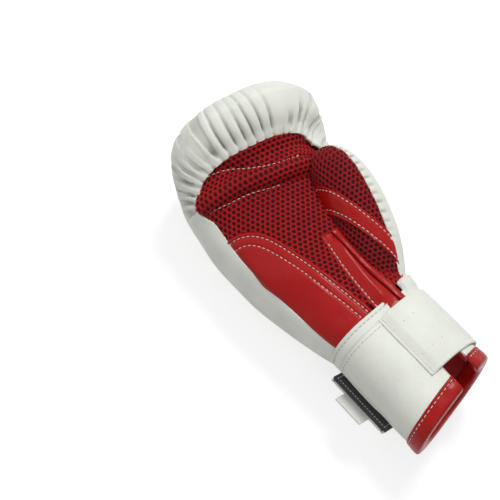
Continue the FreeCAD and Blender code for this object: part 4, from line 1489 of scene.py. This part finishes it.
p = p + inwards * (LINING + 0.4 * (1 + waves(p, 24, 43)))[:, None]
hand_lining = new_piece("hand_lining_cloth", placed(bent(p)), [f[::-1] for f in faces], red_lining)
weld(hand_lining)
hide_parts("hand_lining")


# %% The walls of the slit
WALL_DEPTHS = np.array([0.3, -0.6, -2.5, -5.0, -7.5, -9.6])
WALL_BOW = np.array([-0.4, 0.3, 0.7, 0.8, 0.6, 0.0])


def slit_wall(side, name):
    """Cloth down one side of the slit, from the leather to the lining. side is -1 for the palm's side."""
    y = np.linspace(1, CUFF_LENGTH, 50), np.linspace(CUFF_LENGTH + 2, SLIT_APEX_Y - 0.5, 40)
    y = np.concatenate(y)
    centre, half = slit_lines(y)
    x = centre + side * half
    y = np.maximum(y, mouth_y(x) + 9.5)
    drop = np.maximum(x - CUFF_WIDTH / 2 + CUFF_CORNER, 0) ** 2 / (2 * CUFF_CORNER)
    top = CUFF_TOP - drop * (1 - ease(CUFF_LENGTH, SLIT_APEX_Y, y) * 0.4)
    x, z = x[:, None] - side * WALL_BOW, top[:, None] + WALL_DEPTHS
    points = np.stack([x, np.broadcast_to(y[:, None], x.shape), z], -1).reshape(-1, 3)
    _, faces = grid_chart(np.arange(len(y)), np.arange(len(WALL_DEPTHS)))
    faces = faces if side > 0 else [f[::-1] for f in faces]
    return new_piece(name, placed(bent(points)), faces, red_lining)


slit_wall(-1, "slit_wall_palm")
slit_wall(1, "slit_wall_thumb")


# %% [markdown]
# ## The strap
#
# The strap is sewn to the cuff's palm side and wraps round the thumb's side to the back, where hook tape
# holds it. It is made in four lengths, all swept along the same line with the same section, so they read as
# one strap.

# %% The strap's line
STRAP_UNDER = ARC_Z - ARC_INNER
FLAT_RUN, ARC_RUN, BACK_RUN = ARC_X - STRAP_SEAM_X, math.pi * ARC_INNER, ARC_X - TIP_HINGE_X
STRAP_MIDDLE, TIP_EASE = STRAP_START + STRAP_WIDTH / 2, 2.5
ROW_INSET, ROW_GROOVE, STRAP_SAG = 3.0, 0.28, 0.30
SEWN_RUN, SEWN_DROP, SEWN_THIN = 9.0, 0.65, 0.62
STRAP_RUN = FLAT_RUN + ARC_RUN + BACK_RUN + TIP_LENGTH


def strap_line(walk):
    """The inner face of the strap at a length along it: (x, z) and the outward direction, in millimetres."""
    walk = np.asarray(walk, float)
    turn = np.clip((walk - FLAT_RUN) / ARC_INNER, 0, math.pi)
    after = walk - FLAT_RUN - ARC_RUN
    x = np.where(walk < FLAT_RUN, STRAP_SEAM_X + walk, ARC_X + ARC_INNER * np.sin(turn))
    x = np.where(after > 0, ARC_X - after, x)
    z = ARC_Z + ARC_INNER * np.cos(turn)
    tip = after - BACK_RUN
    lift = math.radians(TIP_ANGLE) * ease(-TIP_EASE, TIP_EASE, tip)
    x_tip = TIP_HINGE_X - np.maximum(tip, 0) * np.cos(lift) + STRAP_SKIN * np.sin(lift)
    z_tip = STRAP_UNDER - STRAP_SKIN + np.maximum(tip, 0) * np.sin(lift) + STRAP_SKIN * np.cos(lift)
    x, z = np.where(tip > 0, x_tip, x), np.where(tip > 0, z_tip, z)
    turned = np.stack([-np.sin(lift), -np.cos(lift)], -1)
    out = np.where((tip > -TIP_EASE)[..., None], turned, np.stack([np.sin(turn), np.cos(turn)], -1))
    return np.stack([x, z], -1), out


def swept(name, walk, across, depth, material, body, caps, inside_out=False):
    """A piece swept along the strap's line. across and depth are the section's, for each place along it."""
    line, out = strap_line(walk)
    x, z = (line[:, None, k] + out[:, None, k] * depth for k in (0, 1))
    points = np.stack([x, np.broadcast_to(STRAP_MIDDLE + across, x.shape), z], -1).reshape(-1, 3)
    index = np.arange(x.size).reshape(x.shape)
    after = np.roll(index, -1, axis=1)
    faces = np.stack([index[:-1], after[:-1], after[1:], index[1:]], -1).reshape(-1, 4).tolist()
    faces += [index[0][::-1].tolist()] * caps[0] + [index[-1].tolist()] * caps[1]
    faces = [tuple(face[::-1] if inside_out else face) for face in faces]
    return new_piece(name, placed(points), faces, material, body=body)


def strap_section():
    """(y, out) of the strap's section: flat faces, rounded edges, and a groove under each row of stitches."""
    half, thick = STRAP_WIDTH / 2, STRAP_SKIN
    y = np.linspace(-half + 0.9, half - 0.9, 45)
    top = np.stack([y, thick - ROW_GROOVE * dent(abs(y) - half + ROW_INSET, 0.8) + 0.12], -1)
    right = np.array([(half - 0.3, thick - 0.25), (half, thick / 2), (half - 0.3, 0.25)])
    under = [(y, 0.02) for y in np.linspace(half - 0.9, -half + 0.9, 12)]
    return np.concatenate([top, right, under, right[::-1] * [-1, 1]])


def sewn_depth(walk, depth):
    """A depth in the strap, thinned and drawn down where its first edge is sewn to the cuff."""
    near = 1 - ease(0, SEWN_RUN, walk)
    return -SEWN_DROP * near + depth * (1 - SEWN_THIN * near)


def bend_across(piece, body_a, body_b, hinge, reach):
    """Bake a piece's place into its mesh; the bodies, the hinge and the reach are not used."""
    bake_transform(piece)


def strap_length(name, start, end, caps, *bend):
    """One length of strap between two places along it, with its transform baked into its mesh."""
    section = strap_section()
    walk = np.linspace(start, end, int(end - start) + 2)
    sag = STRAP_SAG * np.sin(walk / 7.0)[:, None] * np.cos(section[:, 0] / 15) * (section[:, 1] > 1)
    held = ease(0, 8, walk - start)[:, None] * ease(0, 8, end - walk)[:, None]
    depth = sewn_depth(walk[:, None], section[:, 1] + sag * held)
    piece = swept(name, walk, section[:, 0], depth, white_leather, None, caps)
    bend_across(piece, *bend)
    return piece


# %% The four lengths
STRAP_BODIES = ("mitt", "strap_upper", "strap_side", "strap_back", "strap_end")
HINGES = [FLAT_RUN + k * ARC_RUN / 3 for k in range(3)] + [STRAP_RUN - TIP_LENGTH]
REACHES = (12.0, 15.0, 15.0, 4.0)
CUTS = [0.0] + [FLAT_RUN + k * ARC_RUN / 6 for k in (1, 3, 5)] + [STRAP_RUN]
BENDS = list(zip(STRAP_BODIES, STRAP_BODIES[1:], HINGES, REACHES))
strap_pieces = [
    strap_length("strap_leather_" + part, CUTS[k], CUTS[k + 1], (k == 0, k == 3), *BENDS[k])
    for k, part in enumerate(("sewn", "upper", "side", "back"))
]
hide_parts("strap_anchor", "strap_upper")
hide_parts("strap_side")
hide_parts("strap_back", "strap_end")


# %% The hook tape on the strap's end
def end_tape():
    """Black hook tape over the turned-up end: it covers the inner face and wraps the strap's edges."""
    walk = np.arange(STRAP_RUN - TIP_LENGTH + 1.6, STRAP_RUN - 2.0, 1.0)
    walk = np.concatenate([walk, STRAP_RUN + np.array([-1.8, -1.0, -0.3, 0.15, 0.3])])
    half = STRAP_WIDTH / 2 + 0.3
    face = [(y, -1.25) for y in np.linspace(-half + 0.9, half - 0.9, 40)]
    edge = np.array([(half - 0.25, -1.0), (half, -0.4), (half, 0.9), (half - 0.4, 1.05)])
    back = [(y, 0.4) for y in np.linspace(half - 1.5, -half + 1.5, 6)]
    section = np.concatenate([face, edge, back, edge[::-1] * [-1, 1]])
    corner = 2.2 * (1 - ease(0, 1, np.clip((walk[-1] - walk) / 2.2, 0, 1)) ** 0.5)
    across = section[:, 0] * ((half - corner[:, None]) / half)
    depth = np.broadcast_to(section[:, 1], across.shape)
    return swept("hook_tape_cloth", walk, across, depth, black_tape, "strap_end", (True, True), True)


tape_cloth = end_tape()
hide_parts("hook_tape_end")

# %% [markdown]
# ## Stitches
#
# A seam is a line of stitches about four millimetres apart. One Geometry Nodes tree turns a line with a
# facing direction into thread: it is measured out by the pitch, and each stitch is a small rounded length
# between two needle holes, each a small dark disc painted as the shadow in the hole. The lines are first
# laid on the pieces themselves, by casting rays at them.

# %% The stitch tree
STITCH_PITCH, STITCH_LENGTH, STITCH_WIDTH = 3.6, 2.6, 0.56
# Painted shadow: the needle holes are dark discs, coloured for the shadow inside each hole.
needle_hole_shadow, _, _ = new_material("needle_hole_shadow", (0.10, 0.085, 0.075), 0.9)


def stitch_tree():
    """Stitches along a line. The line's points carry a vector called facing, which is away from the cloth."""
    sizes = {"Pitch": ("Float", 0.0039), "Length": ("Float", 0.0027), "Width": ("Float", 0.0007)}
    sizes |= {"Thread": ("Material", None), "Hole_Shadow": ("Material", None)}
    tree, g, result = new_tree("stitches", sizes)

    def made(kind, inputs, **values):
        return node(tree, kind, inputs, **values).outputs

    def shaped(ball, x, y, z, material, shift=None):
        size = made("ShaderNodeCombineXYZ", {"X": x, "Y": y, "Z": z})[0]
        moved = {} if shift is None else {"Translation": shift}
        part = made("GeometryNodeTransform", {"Geometry": ball["Mesh"], **moved, "Scale": size})
        return made("GeometryNodeSetMaterial", {"Geometry": part[0], "Material": material})[0]

    line = made("GeometryNodeMeshToCurve", {"Mesh": g["Geometry"]})
    spots = made("GeometryNodeResampleCurve", {"Curve": line[0], "Length": g["Pitch"]}, mode="LENGTH")
    facing_out = made("GeometryNodeInputNamedAttribute", {"Name": "facing"}, data_type="FLOAT_VECTOR")
    tangent = made("GeometryNodeInputTangent", {})
    ways = {"Primary Axis": facing_out["Attribute"], "Secondary Axis": tangent[0]}
    turn = made("FunctionNodeAxesToRotation", ways, primary_axis="Z", secondary_axis="X")
    length, width = g["Length"], g["Width"]
    joined = node(tree, "GeometryNodeJoinGeometry")
    ball = made("GeometryNodeMeshUVSphere", {}, Segments=6, Rings=5, Radius=0.5)
    tree.links.new(shaped(ball, length, width, width, g["Thread"]), joined.inputs[0])
    # Painted shadow: a flat dark disc at each end of a stitch stands for the shadow in its needle hole.
    hole = made("GeometryNodeMeshUVSphere", {}, Segments=6, Rings=3, Radius=0.5)
    for side in (-0.52, 0.52):
        away, deep = maths(tree, "MULTIPLY", length, side), maths(tree, "MULTIPLY", width, -0.12)
        shift = made("ShaderNodeCombineXYZ", {"X": away, "Z": deep})[0]
        flat = maths(tree, "MULTIPLY", width, 0.45)
        tree.links.new(shaped(hole, width, width, flat, g["Hole_Shadow"], shift), joined.inputs[0])
    instances = {"Points": spots[0], "Instance": joined.outputs[0], "Rotation": turn[0]}
    sewn = made("GeometryNodeInstanceOnPoints", instances)
    tree.links.new(made("GeometryNodeRealizeInstances", {"Geometry": sewn[0]})[0], result)
    return tree


stitches = stitch_tree()


def sew(name, rows, body="mitt", pitch=STITCH_PITCH, length=STITCH_LENGTH):
    """One mesh of stitches along rows of (points in metres, facing vectors)."""
    counts = np.cumsum([0] + [len(p) for p, _ in rows])
    edges = [(k, k + 1) for first, last in zip(counts, counts[1:]) for k in range(first, last - 1)]
    seed = bpy.data.meshes.new(name + "_lines")
    seed.from_pydata(np.concatenate([p for p, _ in rows]).tolist(), edges, [])
    facings = np.concatenate([n for _, n in rows]).astype(np.float32)
    seed.attributes.new("facing", "FLOAT_VECTOR", "POINT").data.foreach_set("vector", facings.ravel())
    values = {"Pitch": pitch * MM, "Length": length * MM, "Width": STITCH_WIDTH * MM}
    values |= {"Thread": thread, "Hole_Shadow": needle_hole_shadow}
    return stood(name, grown(stitches, name, values, seed), body)


def surface_of(piece):
    """A tree for casting rays at a piece, in metres."""
    faces = [tuple(face.vertices) for face in piece.data.polygons]
    return BVHTree.FromPolygons(points_in(piece.data).tolist(), faces)


def smoothed(values, smooth, **edge):
    """Running means of each column over 2 smooth + 1 rows."""
    kernel = np.ones(2 * smooth + 1) / (2 * smooth + 1)
    padded = np.pad(values, ((smooth, smooth), (0, 0)), **edge)
    return np.stack([np.convolve(padded[:, k], kernel, "valid") for k in range(3)], -1)


def lay(starts, ways, surface, lift=0.15, reach=200.0, smooth=5, square=False):
    """Lay a line on a surface by casting rays. starts and ways are in millimetres. Returns the unbroken rows.

    The rows face back along their rays if they are square to the surface, and by its normals otherwise.
    """
    starts = placed(starts)
    rows = [[]]
    for start, way in zip(starts, np.broadcast_to(ways, starts.shape)):
        hit, normal, _, _ = surface.ray_cast(Vector(start), Vector(way), reach * MM)
        if hit is None:
            rows.append([])
            continue
        normal = -way if square else np.array(normal)
        rows[-1].append((np.array(hit), normal if normal @ way < 0 else -normal))
    laid = []
    for row in rows:
        if len(row) > 7:
            p, n = (np.array(values) for values in zip(*row))
            n = unit(smoothed(n, smooth, mode="edge"))
            p = smoothed(p, smooth, mode="reflect", reflect_type="odd")
            laid.append((p + n * lift * MM, n))
    return laid


def from_above(plan, surface, **how):
    """Lay a line given on the plan of the leaning glove."""
    plan = np.asarray(plan, float)
    return lay(np.concatenate([plan, np.full((len(plan), 1), 150.0)], 1), (0, 0, -1), surface, **how)


# %% Seams of the palm and the thumb
heel_surface = surface_of(heel)
palm_rows = [row for inset in HEEL_ROWS for row in from_above(heel_edge.beside(inset), heel_surface)]
placket_y = np.arange(CUFF_LENGTH - 4, SLIT_APEX_Y - 6, 0.5)
centre, half = slit_lines(placket_y)
placket_x = centre - half - PLACKET_WIDTH + PLACKET_STITCH
placket_line = bent(np.stack([placket_x, placket_y, 0 * placket_y], -1))[:, :2]
palm_rows += from_above(placket_line, surface_of(placket))
palm_surface = surface_of(palm_cloth)
for height, x_from, x_to in ((STITCH_HIGH, -56, 20), (STITCH_LOW, -60, -2)):
    x = np.arange(x_from, x_to, 0.5)
    straight = np.stack([x, CUFF_LENGTH + height(x) * MITT_LENGTH, 0 * x], -1)
    palm_rows += from_above(bent(straight)[:, :2], palm_surface, lift=0.35, smooth=9)
band_out = np.array([-root_way[1], root_way[0], 0])
band_view = unit(facing - band_out * (facing @ band_out))
band_along = np.arange(-70, 90, 0.5)[:, None] * np.cross(band_out, band_view)
band_surface = surface_of(thumb_band)
for distance in (BAND_INSET, BAND_FAR - BAND_INSET):
    start = np.array([*root_a, 60.0]) + band_out * distance + band_view * 90
    palm_rows += lay(start + band_along, -band_view, band_surface)
sew("palm_stitches", palm_rows)


# %% Seams of the cuff
CUFF_STITCH_ROWS, BINDING_STITCH = (2.8, 11.5), 8.7


def row_on_cuff(y, t, surface):
    """A row round the cuff: y may change with the turn t."""
    places = np.stack([np.broadcast_to(y, t.shape), t, np.full(t.shape, 6.0)], -1)
    p, out = cuff_points(places)
    return lay(bent(p), -out, surface, reach=12.0, smooth=0, square=True)


cuff_t = np.linspace(0, 1, 900)
cuff_here = cuff_points(np.stack([cuff_t * 0, cuff_t, cuff_t * 0], -1))[0]
on_top = (cuff_here[:, 2] > CUFF_Z + 2) & (cuff_here[:, 0] < 8)
beside_strap = on_top & (cuff_here[:, 0] < STRAP_SEAM_X - 1)
cuff_surface, binding_surface = surface_of(cuff_palm), surface_of(binding)
cuff_rows = []
for inset, here in zip(CUFF_STITCH_ROWS, (on_top, beside_strap)):
    cuff_rows += row_on_cuff(CUFF_LENGTH + CUFF_LAP - inset, cuff_t[here], cuff_surface)
binding_y = mouth_y(cuff_here[:, 0]) + BINDING_STITCH
beside_slit = slit_field(np.stack([cuff_here[:, 0], binding_y, cuff_here[:, 2]], -1)) > 2.2
for run in np.split(np.arange(len(cuff_t)), np.nonzero(~beside_slit)[0]):
    run = run[beside_slit[run]]
    cuff_rows += row_on_cuff(binding_y[run], cuff_t[run], binding_surface)
sew("cuff_stitches", cuff_rows)


# %% Seams of the strap
def strap_row(walk, y, depth):
    """A row on the strap: lengths along it, places across it and a depth out, negative on the inner face."""
    walk, y = np.broadcast_arrays(walk, y)
    line, out = strap_line(walk)
    normals = np.stack([out[:, 0], 0 * y, out[:, 1]], -1) * np.sign(depth)
    return placed(np.stack([line[:, 0], y, line[:, 1]], -1) + normals * abs(depth)), normals


def strap_rows(start, end, inset, depth):
    """A row along each edge of the strap, and one across it at the end."""
    edges = STRAP_START + inset, STRAP_START + STRAP_WIDTH - inset
    along = [strap_row(np.arange(start, end, 0.5), y, depth) for y in edges]
    return along + [strap_row(end, np.arange(*edges, 0.5), depth)]


outer_face = STRAP_SKIN + 0.1
sewn_walk, sewn_face, dotted_length = 2.6, STRAP_SKIN + 0.12, 0.9
tape_end, tape_face = STRAP_RUN - 2.6, -1.35
sewn_row = strap_rows(sewn_walk, sewn_walk, 2.5, sewn_depth(sewn_walk, sewn_face))[-1]
sew("strap_stitches_sewn", [sewn_row])
dotted = []
strap_surface = surface_of(strap_pieces[0])
for y, x_from, x_to in ((66.3, -0.5, 17.0), (41.5, 2.0, 19.5)):
    x = np.arange(x_from, x_to, 0.5)
    dotted += from_above(np.stack([x, np.full(len(x), y)], -1), strap_surface, lift=0.02)
dotted_stitches = sew("strap_stitches_dotted", dotted, body=None, length=dotted_length)
bend_across(dotted_stitches, *BENDS[0])
back_rows = strap_rows(CUTS[3], STRAP_RUN - 3.0, ROW_INSET, outer_face)
back_stitches = sew("strap_stitches_back", back_rows, body=None)
bend_across(back_stitches, *BENDS[3])
tape_rows = strap_rows(STRAP_RUN - TIP_LENGTH + 4, tape_end, 2.6, tape_face)
sew("tape_stitches", tape_rows, body="strap_end", pitch=2.4, length=1.8)

# %% [markdown]
# ## Solids that are kept
#
# The tapes, the pull tab and the label have their true shape already, so each keeps its solid and only gets
# a finish. The thumb's lining is nearly hidden, and is dressed the same way.

# %% Finishes on the kept solids
KEPT = {"hook_tape": black_tape, "loop_tape": black_tape, "pull_tab": white_webbing}
KEPT |= {"size_label": label_cloth, "thumb_lining": red_lining}
for node_name, finish in KEPT.items():
    for material_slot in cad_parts[node_name].material_slots:
        material_slot.link = "OBJECT"
        material_slot.material = finish


# %% Boxes, and how much the box grew
scene_low, scene_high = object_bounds()
changes = [b - a for a, b in zip((*cad_low, *cad_high), (*scene_low, *scene_high))]
print("box grew by", [round(change * 1000, 1) for change in changes])
